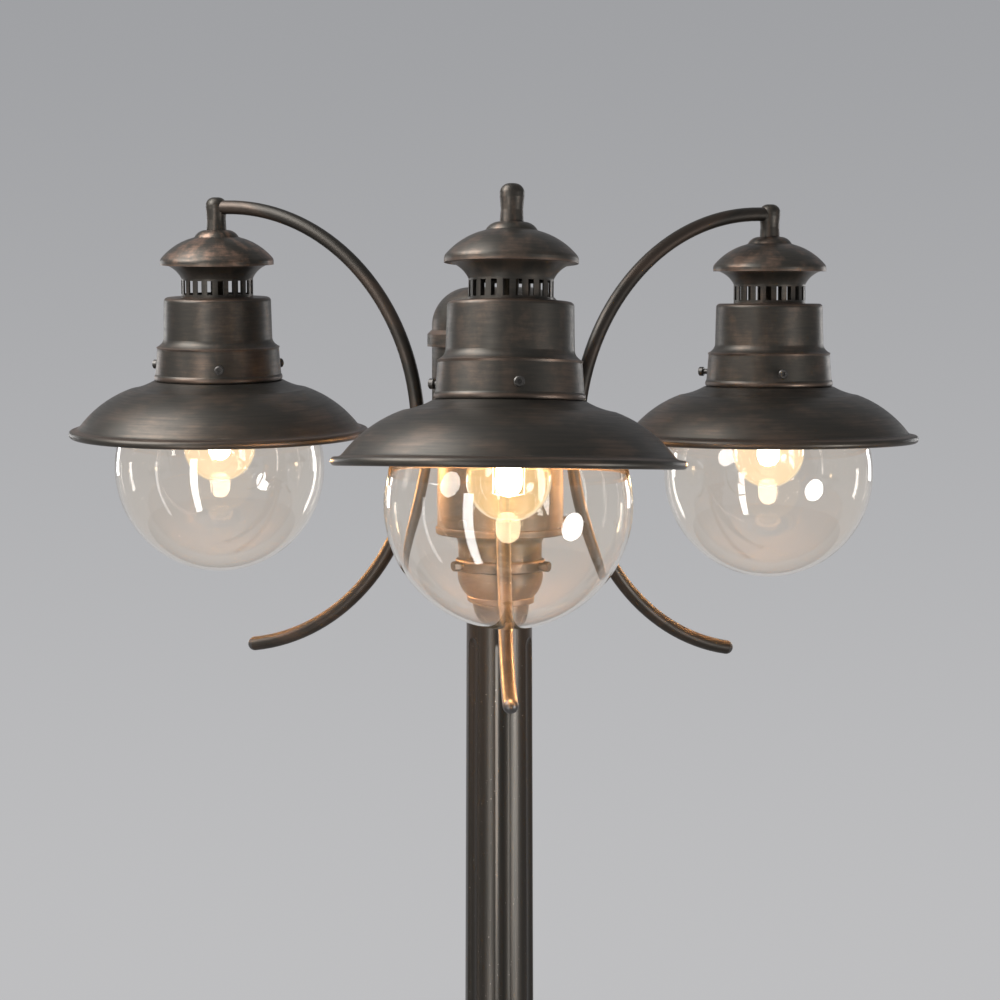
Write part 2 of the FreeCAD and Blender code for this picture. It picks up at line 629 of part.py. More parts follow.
def bulb_cap():
    """Screw cap with its thread drawn as rings, and the centre contact."""
    thread_drop = BULB_DROP + BULB_CONTACT_H + 2.4
    root_r = BULB_CAP_R - BULB_THREAD_DEPTH
    path = [(0, BULB_DROP), (BULB_CONTACT_R, BULB_DROP),
            (BULB_CONTACT_R + 0.6, BULB_DROP + BULB_CONTACT_H), (root_r, thread_drop)]
    for k in range(BULB_THREAD_TURNS):
        top = thread_drop + k * BULB_THREAD_PITCH
        crest = (BULB_CAP_R, top + BULB_THREAD_PITCH / 2)
        path.append((crest, (root_r, top + BULB_THREAD_PITCH)))
    foot = BULB_DROP + BULB_CAP_H
    socket_r = bulb_neck_r() + SLIP
    path += [(BULB_CAP_R, foot - 3), (BULB_CAP_R, foot), (socket_r, foot), (socket_r, foot - 4),
             (0, foot - 4)]
    return turned(*path)


def bulb_neck_r():
    return BULB_CAP_R - BULB_THREAD_DEPTH - 2 * SLIP


def bulb_skin(inset):
    """Pear of the bulb's glass, drawn in by inset."""
    top = BULB_DROP + BULB_CAP_H - 3.5 + inset
    neck_r = bulb_neck_r() - inset
    ball_r = BULB_R - inset
    turn = math.radians(40)
    join = (ball_r * math.cos(turn), BULB_CENTRE_DROP - ball_r * math.sin(turn))
    waist = (neck_r + 0.32 * (join[0] - neck_r), top + 0.62 * (join[1] - top))
    return turned((0, top), (neck_r, top), (neck_r, top + 5), (waist, join),
                  ((ball_r, BULB_CENTRE_DROP), (0, BULB_CENTRE_DROP + ball_r)))


def bulb_glass():
    return bulb_skin(0).cut(bulb_skin(BULB_GLASS_WALL))


def bulb_filament():
    """Glass stem with two wires that carry an arched filament."""
    top = BULB_DROP + BULB_CAP_H - 3.5 + BULB_GLASS_WALL
    flare_r = bulb_neck_r() - BULB_GLASS_WALL - SLIP
    tip = BULB_CENTRE_DROP - 0.5 * BULB_R
    stem = turned((0, top), (flare_r, top), (flare_r, top + 2),
                  ((STEM_R + 1.5, top + 7), (STEM_R, top + 16)), (STEM_R, tip - STEM_R), (0, tip))
    half = FILAMENT_SPAN / 2
    low = BULB_CENTRE_DROP + 2.0
    wires = [rod(SUPPORT_R, Vector(side * 1.2, 0, -tip + 4), Vector(side * half, 0, -low))
             for side in (-1, 1)]
    arch = Part.Arc(Vector(-half, 0, -low), Vector(0, 0, -low + 5), Vector(half, 0, -low))
    ends = [Part.makeSphere(FILAMENT_R, Vector(side * half, 0, -low)) for side in (-1, 1)]
    return stem.fuse(wires + [tube_along(FILAMENT_R, [arch.toShape()])] + ends)


# ---- hub --------------------------------------------------------------------------------------
def hub_lid():
    """Domed lid with a chamfered band that reaches down over the hub's wall."""
    dome_foot = LID_TOP_DROP + LID_SHOULDER_R
    flat_r = HUB_R - LID_SHOULDER_R
    inner_flat = flat_r + LID_WALL
    bend = LID_SHOULDER_R * (1 - math.sqrt(0.5))
    inner_bend = bend - LID_WALL * (math.sqrt(0.5) - 0.25)
    skirt_r = HUB_R + RUNNING_GAP
    ledge_r = HUB_R - HUB_WALL - 0.5
    ledge_drop = HUB_TOP_DROP - SEAL_T
    return turned((0, LID_TOP_DROP), (flat_r, LID_TOP_DROP),
                  ((HUB_R - bend, LID_TOP_DROP + bend), (HUB_R, dome_foot)),
                  (HUB_R, LID_BAND_DROP), (LID_BAND_R - LID_BAND_CHAMFER, LID_BAND_DROP),
                  (LID_BAND_R, LID_BAND_DROP + LID_BAND_CHAMFER),
                  (LID_BAND_R, LID_BAND_FOOT_DROP), (skirt_r, LID_BAND_FOOT_DROP),
                  (skirt_r, ledge_drop), (ledge_r, ledge_drop), (ledge_r, dome_foot),
                  ((ledge_r - inner_bend, LID_TOP_DROP + LID_WALL + inner_bend),
                   (inner_flat, LID_TOP_DROP + LID_WALL)),
                  (0, LID_TOP_DROP + LID_WALL)).cut(hub_screw_holes())


def hub_seal():
    foot = HUB_TOP_DROP - SLIP
    return turned((HUB_R - SEAL_W, foot - SEAL_T + 2 * SLIP), (HUB_R, foot - SEAL_T + 2 * SLIP),
                  (HUB_R, foot), (HUB_R - SEAL_W, foot))


def hub_body():
    inner = HUB_R - HUB_WALL
    wall = turned((inner, HUB_TOP_DROP), (HUB_R, HUB_TOP_DROP), (HUB_R, SOCKET_TOP_DROP),
                  (inner, SOCKET_TOP_DROP))
    tails = [set_in(Placement(Vector(0, 0, HEADS[head][3]), Rotation(AXIS_Z, HEADS[head][0])),
                    rod(NIPPLE_R + SLIP, Vector(0, 0, -BOW_R), Vector(2 * HUB_R, 0, -BOW_R)))
             for head in HEADS]
    return wall.cut(tails + hub_screw_holes())


def hub_screw_drops():
    """Rows of the screws of the lid and of the socket casting."""
    return ((LID_BAND_FOOT_DROP - 4.2, LID_BAND_R),
            (SOCKET_TOP_DROP - SOCKET_SPIGOT_H / 2, HUB_R))


def hub_screw_angles():
    return [angle + HUB_SCREW_TURN for angle in BETWEEN_ARMS]


def hub_screw_holes():
    holes = []
    for drop, seat_r in hub_screw_drops():
        hole = rod(HUB_SCREW_R + SLIP, Vector(hub_screw_tip(), 0, -drop), Vector(seat_r + SLIP, 0, -drop))
        holes += around(hole, hub_screw_angles())
    return holes


def hub_screw_tip():
    """Radius at which the shanks end, inside the hub's wall."""
    return HUB_R - HUB_WALL - 1.5


def hub_screws():
    screws = []
    for drop, seat_r in hub_screw_drops():
        shank_end = Vector(hub_screw_tip(), 0, -drop)
        head = Part.makeCylinder(HUB_SCREW_HEAD_R, HUB_SCREW_HEAD_H, Vector(seat_r, 0, -drop), AXIS_X)
        outer = [edge for edge in head.Edges if edge.BoundBox.XMin > seat_r + SLIP]
        head = head.makeFillet(0.3 * HUB_SCREW_HEAD_H, outer)
        screw = head.fuse(rod(HUB_SCREW_R, shank_end, Vector(seat_r + 1, 0, -drop)))
        screws += around(screw, hub_screw_angles())
    return screws


def hub_socket():
    """Casting that closes the hub below and sits on the post."""
    rim_foot = SOCKET_TOP_DROP + SOCKET_RIM_H
    neck_top = rim_foot + SOCKET_FLARE_H
    neck_foot = neck_top + SOCKET_NECK_H
    collar_foot = neck_foot + SOCKET_COLLAR_H
    bowl_foot = collar_foot + SOCKET_BOWL_H
    foot = SOCKET_FOOT_DROP
    spigot_r = HUB_R - HUB_WALL - 2 * SLIP
    spigot_top = SOCKET_TOP_DROP - SOCKET_SPIGOT_H
    post_drop = foot - POST_INSERT
    bore_r = post_r(ARM_HEIGHT - foot) + 2 * SLIP
    bead = 1.4
    body = turned((CABLE_HOLE_R, spigot_top), (spigot_r, spigot_top), (spigot_r, SOCKET_TOP_DROP),
                  (SOCKET_RIM_R - 0.8, SOCKET_TOP_DROP), (SOCKET_RIM_R, SOCKET_TOP_DROP + 0.8),
                  (SOCKET_RIM_R, rim_foot - 1), (SOCKET_RIM_R - 1, rim_foot),
                  (SOCKET_NECK_R + 0.75 * SOCKET_FLARE_H, rim_foot),
                  ((SOCKET_NECK_R + 0.2 * SOCKET_FLARE_H, rim_foot + 0.35 * SOCKET_FLARE_H),
                   (SOCKET_NECK_R, neck_top)),
                  (SOCKET_NECK_R, neck_foot),
                  ((SOCKET_COLLAR_R, neck_foot + bead), (SOCKET_COLLAR_R, neck_foot + 2 * bead)),
                  (SOCKET_COLLAR_R, collar_foot - bead), (SOCKET_COLLAR_R - bead, collar_foot),
                  ((0.5 * (SOCKET_COLLAR_R + SOCKET_LIP_R) + 1.2, collar_foot + 0.6 * SOCKET_BOWL_H),
                   (SOCKET_LIP_R, bowl_foot)),
                  (SOCKET_LIP_R + 0.6, bowl_foot + 0.8), (SOCKET_LIP_R + 0.6, foot - 1),
                  (SOCKET_LIP_R - 0.4, foot), (bore_r, foot),
                  (bore_r, post_drop - SLIP), (CABLE_HOLE_R, post_drop - SLIP))
    holes = around(rod(SET_SCREW_R + SLIP, Vector(0, 0, -top_screw_drop()),
                       Vector(2 * HUB_R, 0, -top_screw_drop())), BETWEEN_ARMS)
    return body.cut(holes + hub_screw_holes())


def top_screw_drop():
    return SOCKET_FOOT_DROP - SOCKET_LIP_H - SOCKET_BOWL_H - SOCKET_COLLAR_H / 2


def terminal_block():
    """Block on two legs over the cable hole, with a screw pocket above each pole."""
    floor = -SOCKET_TOP_DROP + SOCKET_SPIGOT_H
    body = Part.makeBox(BLOCK_X, BLOCK_Y, BLOCK_H,
                        Vector(-BLOCK_X / 2, -BLOCK_Y / 2, floor + BLOCK_LEG_H))
    legs = [Part.makeBox(BLOCK_LEG_T, BLOCK_Y, BLOCK_LEG_H + 1,
                         Vector(side * (BLOCK_X - BLOCK_LEG_T) / 2 - BLOCK_LEG_T / 2,
                                -BLOCK_Y / 2, floor)) for side in (-1, 1)]
    pockets = [Part.makeCylinder(2.2, 5, Vector(x, 0, floor + BLOCK_LEG_H + BLOCK_H - 4))
               for x in (-0.15 * BLOCK_X, 0, 0.15 * BLOCK_X)]
    return body.fuse(legs).cut(pockets)


# ---- post and base ----------------------------------------------------------------------------
def post_r(height):
    """Outer radius of the tapering post at a height above the ground."""
    share = (POST_TOP - height) / (POST_TOP - PLATE_T)
    return POST_TOP_R + share * (POST_FOOT_R - POST_TOP_R)


def flute(top, foot):
    """Cutter for one flute: a bar with round ends that follows the taper."""
    half = FLUTE_W / 2
    sagitta = post_r(top) - math.sqrt(post_r(top)**2 - half**2)
    sink = FLUTE_DEPTH - sagitta
    cutter_r = (half**2 + sink**2) / (2 * sink)
    reach = math.sqrt(cutter_r**2 - (cutter_r - FLUTE_DEPTH)**2)
    ends = [Vector(post_r(z) + cutter_r - FLUTE_DEPTH, 0, z) for z in (foot + reach, top - reach)]
    balls = [Part.makeSphere(cutter_r, end) for end in ends]
    return rod(cutter_r, *ends).fuse(balls)


def post_tube():
    outer = turned((0, -PLATE_T), (POST_FOOT_R, -PLATE_T), (POST_TOP_R, -POST_TOP), (0, -POST_TOP))
    bore = turned((0, -PLATE_T), (POST_FOOT_R - POST_WALL, -PLATE_T),
                  (POST_TOP_R - POST_WALL, -POST_TOP), (0, -POST_TOP))
    top = ARM_HEIGHT - SOCKET_FOOT_DROP - FLUTE_TOP_GAP
    foot = PLATE_T + COVER_H + FLUTE_FOOT_GAP
    angles = [HEADS["right"][0] + FLUTE_TURN + k * 360.0 / FLUTE_COUNT for k in range(FLUTE_COUNT)]
    hole = rod(SET_SCREW_R + SLIP, Vector(0, 0, FOOT_SCREW_HEIGHT),
               Vector(2 * POST_FOOT_R, 0, FOOT_SCREW_HEIGHT))
    return outer.cut([bore] + around(flute(top, foot), angles) + around(hole, BETWEEN_ARMS))


def set_screw(seat_r, tip_r, height):
    """Hexagon head screw along X, its head just clear of the wall at seat_r."""
    head = hex_prism(2 * SET_SCREW_HEAD_R * math.cos(math.radians(30)), SET_SCREW_HEAD_H)
    head.rotate(ORIGIN, AXIS_Y, 90)
    head.translate(Vector(seat_r + SET_SCREW_SHANK, 0, height))
    return head.fuse(rod(SET_SCREW_R, Vector(tip_r, 0, height),
                         Vector(seat_r + SET_SCREW_SHANK + 1, 0, height)))


def post_set_screws():
    top = ARM_HEIGHT - top_screw_drop()
    upper = set_screw(SOCKET_COLLAR_R, post_r(top) + SLIP, top)
    lower_tip = spigot_r(FOOT_SCREW_HEIGHT) + SLIP
    lower = set_screw(post_r(FOOT_SCREW_HEIGHT), lower_tip, FOOT_SCREW_HEIGHT)
    return around(upper, BETWEEN_ARMS) + around(lower, BETWEEN_ARMS)


def spigot_r(height):
    """Outer radius of the base's spigot, which follows the post's bore."""
    return post_r(height) - POST_WALL - 2 * SLIP


def base_plate():
    """Round foot with a spigot that the post slides down over."""
    top = PLATE_T + SPIGOT_H
    corner = PLATE_EDGE_R * (1 - math.sqrt(0.5))
    bore_r = spigot_r(PLATE_T) - SPIGOT_WALL
    body = turned((CABLE_ENTRY_R, 0), (PLATE_R, 0), (PLATE_R, -PLATE_T + PLATE_EDGE_R),
                  ((PLATE_R - corner, corner - PLATE_T), (PLATE_R - PLATE_EDGE_R, -PLATE_T)),
                  (spigot_r(PLATE_T), -PLATE_T), (spigot_r(top - 2), -top + 2),
                  (spigot_r(top) - 2, -top), (bore_r, -top), (bore_r, -PLATE_T),
                  (CABLE_ENTRY_R, -PLATE_T))
    bolt = Part.makeCylinder(BOLT_HOLE_R, PLATE_T, Vector(BOLT_CIRCLE_R, 0, 0))
    return body.cut(around(bolt, [90 + k * 360.0 / BOLT_COUNT for k in range(BOLT_COUNT)]))


def base_cover():
    """Bell that stands on the plate over the bolts and slides up the post."""
    foot = PLATE_T + SLIP
    top = foot + COVER_H
    skirt_top = foot + COVER_SKIRT_H
    ring_foot = top - COVER_NECK_H
    neck_bore = post_r(ring_foot) + RUNNING_GAP
    neck_r = neck_bore + COVER_NECK_WALL
    step_r = COVER_R - COVER_STEP
    waist = (neck_r + 0.36 * (step_r - neck_r), skirt_top + 0.62 * (ring_foot - skirt_top))
    shell = spun(COVER_WALL,
                 (neck_r, -ring_foot - COVER_WALL),
                 (neck_r, -ring_foot),
                 ((neck_r + 0.12 * (step_r - neck_r), -ring_foot + 0.24 * (ring_foot - skirt_top)),
                  (waist[0], -waist[1])),
                 ((neck_r + 0.80 * (step_r - neck_r),
                   -skirt_top - 0.42 * (ring_foot - skirt_top)), (step_r, -skirt_top - 3)),
                 (COVER_R - 4, -skirt_top - 3),
                 ((COVER_R - 1.2, -skirt_top - 1.8), (COVER_R, -skirt_top + 1)),
                 (COVER_R, -foot))
    ring = turned((neck_bore, -top), (neck_r - 2, -top),
                  ((neck_r - 0.6, -top + 0.6), (neck_r, -top + 2)),
                  (neck_r, -top + 0.3 * COVER_NECK_H),
                  (neck_r + 2, -top + 0.4 * COVER_NECK_H),
                  ((neck_r + 3, -top + 0.55 * COVER_NECK_H),
                   (neck_r + 2, -top + 0.7 * COVER_NECK_H)),
                  (neck_r, -top + 0.8 * COVER_NECK_H), (neck_r, -ring_foot),
                  (neck_bore, -ring_foot))
    return shell.fuse(ring)


# ---- build ------------------------------------------------------------------------------------
def build_head(head):
    lamp = head_frame(head)
    mast = arm_frame(head)
    save("arm_" + head, [set_in(mast, arm(head))])
    save("arm_lead_" + head, [arm_lead(head)])
    for node, piece in (("elbow_", elbow(head)), ("cap_", cap()), ("vent_cage_", vent_cage()),
                        ("barrel_", barrel()), ("shade_", shade()), ("globe_", globe()),
                        ("lampholder_", lampholder()), ("bulb_glass_", bulb_glass()),
                        ("bulb_cap_", bulb_cap()), ("bulb_filament_", bulb_filament())):
        save(node + head, [set_in(lamp, piece)])
    for number, screw in enumerate(around(retaining_screw(), screw_angles()), 1):
        save("globe_screw_%s_%d" % (head, number), [set_in(lamp, screw)])


def build_shared():
    save("arm_tips", [set_in(arm_frame(head), arm_tip(head)) for head in HEADS])
    save("arm_brackets", [set_in(arm_frame(head), bracket(head)) for head in HEADS])
    save("nipples", [set_in(head_frame(head), nipple()) for head in HEADS])
    head_nut = nut()
    head_nut.translate(Vector(0, 0, -NUT_DROP - NUT_T))
    save("lock_nuts", [set_in(head_frame(head), head_nut) for head in HEADS]
         + [set_in(arm_frame(head), bracket_nut()) for head in HEADS])
    save("globe_gaskets", [set_in(head_frame(head), gasket()) for head in HEADS])


def build_hub():
    for node, piece in (("hub_lid", hub_lid()), ("hub_seal", hub_seal()), ("hub_body", hub_body()),
                        ("hub_socket", hub_socket()), ("terminal_block", terminal_block())):
        save(node, [set_in(hub_frame(), piece)])
    save("hub_screws", [set_in(hub_frame(), screw) for screw in hub_screws()])


def build_post():
    save("post_tube", [post_tube()])
    save("post_set_screws", post_set_screws())
    save("base_plate", [base_plate()])
    save("base_cover", [base_cover()])


for name in HEADS:
    build_head(name)
build_shared()
build_hub()
build_post()
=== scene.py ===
"""Triple head lamp post: finishes, glass, lamps alight, studio and camera.

Metres, +Z up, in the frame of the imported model. What belongs to a lamp is drawn once in an upright
frame on the lamp's axis, in millimetres: radii, and drops below the centreline of its arm.
"""
import math

import bpy
from mathutils import Matrix, Vector


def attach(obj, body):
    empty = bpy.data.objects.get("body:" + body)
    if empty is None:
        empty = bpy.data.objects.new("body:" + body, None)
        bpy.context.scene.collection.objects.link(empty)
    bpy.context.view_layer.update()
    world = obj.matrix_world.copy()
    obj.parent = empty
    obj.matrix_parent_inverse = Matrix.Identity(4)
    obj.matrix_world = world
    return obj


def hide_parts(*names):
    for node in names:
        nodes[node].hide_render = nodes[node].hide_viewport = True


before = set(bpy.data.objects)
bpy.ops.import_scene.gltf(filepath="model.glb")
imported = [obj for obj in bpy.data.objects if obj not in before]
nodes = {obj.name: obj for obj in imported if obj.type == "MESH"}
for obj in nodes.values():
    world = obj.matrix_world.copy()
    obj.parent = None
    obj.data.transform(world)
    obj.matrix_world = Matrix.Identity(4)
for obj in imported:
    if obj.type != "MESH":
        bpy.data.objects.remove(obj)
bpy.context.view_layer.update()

# ---- driving dimensions, in millimetres and degrees -------------------------------------------
ARM_HEIGHT = 2092.0
HEAD_CIRCLE_R = 243.6
# name: (azimuth, bottom leaning outwards, twist about the arm's end, height above nominal)
HEADS = {
    "front": (-90.0, 3.3, -0.8, 0.0),
    "right": (30.0, 0.0, 0.0, -2.4),
    "left": (150.0, 1.0, -2.3, 2.5),
}

# globe
GLOBE_R = 80.0
GLOBE_WALL = 2.0
GLOBE_NECK_R = 38.5
GLOBE_LIP_R = 41.2
GLOBE_LIP_H = 4.0
GLOBE_LIP_ROUND = 1.0        # of the lip's rim and of its mouth
GLOBE_DROP = 114.2
GLOBE_CENTRE_DROP = 197.6
ROUND_SHARE = 0.3            # of a round's radius, from its corner to its middle

# bulb
BULB_R = 27.5
BULB_CENTRE_DROP = 181.5
BULB_NECK_R = 12.1
BULB_NECK_DROP = 128.0
BULB_NECK_H = 5.0
BULB_WALL = 0.8
BULB_JOIN_ANGLE = 40.0       # the ball turns into the neck this far above its widest line
BULB_WAIST = (0.32, 0.62)    # share of the way out and down from the neck to that join
STEM_R = 2.6
STEM_TIP_DROP = BULB_CENTRE_DROP - 0.5 * BULB_R
STEM_TOP_DROP = BULB_NECK_DROP + BULB_WALL
STEM_FLARE_R = BULB_NECK_R - 1.5
STEM_FLARE_BEND_R = STEM_R + 1.5
STEM_FLARE_DROPS = (2.0, 7.0, 16.0)   # edge, bend and root of the flare, below the stem's top
COIL_R = 1.3
COIL_WIRE_R = 0.34
COIL_WIRE_SIDES = 6
COIL_TURNS = 20
FILAMENT_SPAN = 16.0
CAPSULE_R = 8.6
CAPSULE_H = 25.0
CAPSULE_DROP = 180.5
CAPSULE_TOP_DROP = CAPSULE_DROP - CAPSULE_H / 2
CAPSULE_FOOT_DROP = CAPSULE_DROP + CAPSULE_H / 2
CAPSULE_BEND_R = 0.74 * CAPSULE_R
CAPSULE_TIP = (1.2, 0.3)     # radius and height of the sealing tip below
CAPSULE_PINCH = (2.6, 0.6)   # the same of the pinch above
CAPSULE_ENDS = (0.36 * CAPSULE_H, 0.38 * CAPSULE_H)   # height of the lower and the upper round
CAPSULE_BENDS = (3.0, 3.2)   # height of the middle of each round above or below its end
WIRE_R = 0.35
WIRE_OVERLAP = 0.3           # of one straight run past the next
WIRE_Y = CAPSULE_R + 1.6     # where the wires pass the capsule
# corners of a wire, as (distance from the lamp's axis, drop), from the stem to under the capsule
WIRE_CORNERS = ((1.2, STEM_TIP_DROP - 4), (WIRE_Y, STEM_TIP_DROP + 3),
                (WIRE_Y, CAPSULE_FOOT_DROP - 2), (0.7, CAPSULE_FOOT_DROP - 0.4))

# post
POST_TOP_R = 23.6
POST_FOOT_R = 31.0
POST_WALL = 4.0
POST_TOP = 1850.0
PLATE_T = 10.0
FLUTE_COUNT = 6
FLUTE_AZIMUTH = 34.0
FLUTE_DEPTH = 2.0
FLUTE_W = 11.0
FLUTE_TOP = 1781.0
FLUTE_FOOT = 168.0
FOOT_SCREW_HEIGHT = 48.0
FOOT_SCREW_HOLE_R = 3.05
POST_ROWS = 46               # rows of faces between the post's ends
POST_SIDES = 144
DRILL_L = 30.0
DRILL_SIDES = 32
BETWEEN_ARMS = (-30.0, 90.0, 210.0)

# rolled and turned edges where the paint is worn to copper, which also paints a highlight along
# them: (drop, half width)
LAMP_EDGES = ((43.0, 1.8), (68.4, 1.8), (105.9, 1.8), (128.8, 2.0), (168.0, 1.0))
HUB_EDGES = ((90.4, 2.4), (100.2, 1.4), (233.0, 1.6), (237.4, 1.4), (258.5, 1.6), (290.5, 1.6))

# bronze paint: how far it is rubbed down to copper, and how light it is
CAP_COPPER = {"front": 0.35, "right": 0.6, "left": 1.1}
LAMP_COPPER = 0.22
HUB_COPPER = 0.3
POST_COPPER = 0.04
LAMP_TONE = 0.85
ARM_TONE = 0.55
POST_TONE = 0.5
POST_SPECKS = 0.9
POST_SHINE = 0.10

# scale of its fine streaks and its broad patches, each (around a piece, along its profile)
LAMP_MARKS = ((2.4, 340.0), (2.2, 36.0))
ARM_MARKS = ((3.0, 60.0), (6.0, 22.0))
POST_MARKS = ((26.0, 6.0), (7.0, 2.5))

# edges sharper than this many degrees stay sharp when a piece is shaded
CREASE = 40
POST_CREASE = 30

# camera
CAMERA_TURN = -1.94          # about the post, from the front lamp's azimuth
CAMERA_DISTANCE = 2151.5
CAMERA_SIDE = 0.5
CAMERA_DROP = 62.4           # below the arms' top run
CAMERA_PITCH = -3.98
SENSOR = 36.0
LENS = 107.0

MM = 0.001


# ---- drawing helpers --------------------------------------------------------------------------
def lamp_frame(head):
    """From a lamp's upright frame, in millimetres, to the model's, in metres."""
    azimuth, lean, twist, rise = HEADS[head]
    return (Matrix.Translation((0, 0, (ARM_HEIGHT + rise) * MM))
            @ Matrix.Rotation(math.radians(azimuth), 4, "Z")
            @ Matrix.Translation((HEAD_CIRCLE_R * MM, 0, 0))
            @ Matrix.Rotation(math.radians(-lean), 4, "Y")
            @ Matrix.Rotation(math.radians(twist), 4, "X")
            @ Matrix.Scale(MM, 4))


def upright_frame(head):
    """The same frame, but counted in metres."""
    return lamp_frame(head) @ Matrix.Scale(1 / MM, 4)


def lone_vertex(name, at):
    """A new object in edit mode with one selected vertex."""
    bpy.ops.object.select_all(action="DESELECT")
    bpy.ops.mesh.primitive_plane_add(size=1)
    piece = bpy.context.active_object
    piece.name = piece.data.name = name
    bpy.ops.object.mode_set(mode="EDIT")
    bpy.ops.mesh.select_all(action="SELECT")
    bpy.ops.mesh.merge(type="CENTER")
    bpy.ops.transform.translate(value=at)
    return piece


def circle_through(a, b, c):
    """Centre of the circle through three points of the XZ plane."""
    ax, az, bx, bz, cx, cz = a.x, a.z, b.x, b.z, c.x, c.z
    d = 2 * (ax * (bz - cz) + bx * (cz - az) + cx * (az - bz))
    squares = [p.x**2 + p.z**2 for p in (a, b, c)]
    x = (squares[0] * (bz - cz) + squares[1] * (cz - az) + squares[2] * (az - bz)) / d
    z = (squares[0] * (cx - bx) + squares[1] * (ax - cx) + squares[2] * (bx - ax)) / d
    return Vector((x, 0, z))


def draw_arc(at, via, end, step):
    """Spin the selected vertex along the arc from at through via to end."""
    centre = circle_through(at, via, end)
    first, middle, last = (math.atan2(p.z - centre.z, p.x - centre.x) for p in (at, via, end))
    sweep = (last - first) % (2 * math.pi)
    if (middle - first) % (2 * math.pi) > sweep:
        sweep -= 2 * math.pi
    steps = max(2, round(abs(math.degrees(sweep)) / step))
    bpy.ops.mesh.spin(steps=steps, angle=sweep, center=centre, axis=(0, 1, 0))


def draw_path(name, path, step=6):
    """Wire of (radius, drop) points; ((r, d), (r, d)) is an arc by way of the first."""
    at = Vector((path[0][0], 0, -path[0][1]))
    piece = lone_vertex(name, at)
    for leg in path[1:]:
        if isinstance(leg[0], tuple):
            via, end = (Vector((r, 0, -drop)) for r, drop in leg)
            draw_arc(at, via, end, step)
        else:
            end = Vector((leg[0], 0, -leg[1]))
            bpy.ops.mesh.extrude_region_move(TRANSFORM_OT_translate={"value": end - at})
        at = end
    return piece


def turned(name, *path, steps=96, step=6):
    """Turn the path about Z, left as an object in its drawing frame."""
    piece = draw_path(name, path, step)
    bpy.ops.mesh.select_all(action="SELECT")
    bpy.ops.mesh.spin(steps=steps, angle=2 * math.pi, center=(0, 0, 0), axis=(0, 0, 1))
    bpy.ops.mesh.select_all(action="SELECT")
    bpy.ops.mesh.remove_doubles(threshold=0.001)
    bpy.ops.mesh.normals_make_consistent(inside=False)
    bpy.ops.object.mode_set(mode="OBJECT")
    return piece


def smooth(piece, angle):
    """Smooth shading, but for edges sharper than the angle."""
    bpy.ops.object.select_all(action="DESELECT")
    piece.select_set(True)
    bpy.context.view_layer.objects.active = piece
    bpy.ops.object.shade_smooth_by_angle(angle=math.radians(angle))


def fit(piece, place, body, material, *replaced, crease=CREASE):
    """Set a finished piece in its place in the model."""
    smooth(piece, crease)
    piece.data.transform(place)
    piece.data.materials.clear()
    piece.data.materials.append(material)
    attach(piece, body)
    if replaced:
        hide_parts(*replaced)


# ---- finishes ---------------------------------------------------------------------------------
DARK_BRONZE = (0.036, 0.033, 0.028, 1)
BROWN_BRONZE = (0.064, 0.053, 0.042, 1)
COPPER = (0.19, 0.115, 0.080, 1)
PALE_SPECK = (0.30, 0.28, 0.25, 1)
BRONZE_ROUGHNESS = (0.44, 0.38)       # in the streaks' dark and light
BRONZE_METALLIC = 0.75
BRONZE_BUMP = (0.06, 0.0003)          # strength, and distance in metres
LINE_RANGE = (0.30, 0.74)             # of the noise, for streaks, patches and dots
AREA_RANGE = (0.44, 0.70)
DOT_RANGE = (0.73, 0.76)
GRAIN_SCALE = 700.0
OUTWARD_SHARE = 0.7                   # how turning marks follow the profile
DOWNWARD_SHARE = -1.3

GLASS_IOR = 1.47
GLASS_WAVES = 22.0
GLASS_BUMP = (0.05, 0.002)
# glasses: (tint, strength of a painted glow, an emission that stands in for the lamp's light in the
# glass)
GLASSES = {
    "globe_glass": ((1.0, 0.975, 0.94, 1), 0.010),
    "bulb_glass": ((1.0, 0.99, 0.97, 1), 0.15),
    "stem_glass": ((1.0, 0.98, 0.94, 1), 0.0),
}
# colour of the glasses' painted glow
GLOW = (1.0, 0.68, 0.28, 1)
WIRE_GLOW = (1.0, 0.74, 0.42, 1)
WIRE_STRENGTH = 120.0
WIRE_BODY = (0.1, 0.06, 0.03, 1)
# painted glow of the quartz capsule, bright in its middle and darker and redder at its ends,
# standing in for the filament's light in it
CAPSULE_GLOW = (1, 0.86, 0.60, 1)
CAPSULE_END_GLOW = (0.10, 0.045, 0.015, 1)
CAPSULE_STRENGTH = 80.0
QUARTZ = (0.7, 0.68, 0.62, 1)

# plain finishes: (colour, metallic, roughness), and where it isn't the usual grain its scale
# and depth
PLAIN = {
    "nickel_wire": ((0.6, 0.57, 0.52, 1), 1.0, 0.3),
    "plug_black": ((0.022, 0.021, 0.020, 1), 0.0, 0.35),
    "seal_rubber": ((0.03, 0.03, 0.03, 1), 0.0, 0.7),
    "black_screw_steel": ((0.07, 0.065, 0.06, 1), 0.8, 0.35),
    "aged_brass": ((0.040, 0.032, 0.022, 1), 1.0, 0.5),
    "holder_porcelain": ((0.78, 0.75, 0.70, 1), 0.0, 0.25, 300.0, 0.05),
    "cap_nickel": ((0.66, 0.64, 0.60, 1), 1.0, 0.22),
    "flex_sheath": ((0.04, 0.04, 0.04, 1), 0.0, 0.55),
    "block_plastic": ((0.80, 0.78, 0.70, 1), 0.0, 0.45),
}


def shader_tree(name):
    """New material, its node tree and its Principled shader."""
    material = bpy.data.materials.new(name)
    material.use_nodes = True
    tree = material.node_tree
    return material, tree, tree.nodes["Principled BSDF"]


def math_node(tree, operation, a, b=None):
    node = tree.nodes.new("ShaderNodeMath")
    node.operation = operation
    for socket, value in zip(node.inputs, (a, b)):
        plug(tree, value, socket)
    return node.outputs[0]


def plug(tree, value, socket):
    """Link an output to the socket, or set its plain value."""
    if value is None:
        return
    if isinstance(value, bpy.types.NodeSocket):
        tree.links.new(value, socket)
    else:
        socket.default_value = value


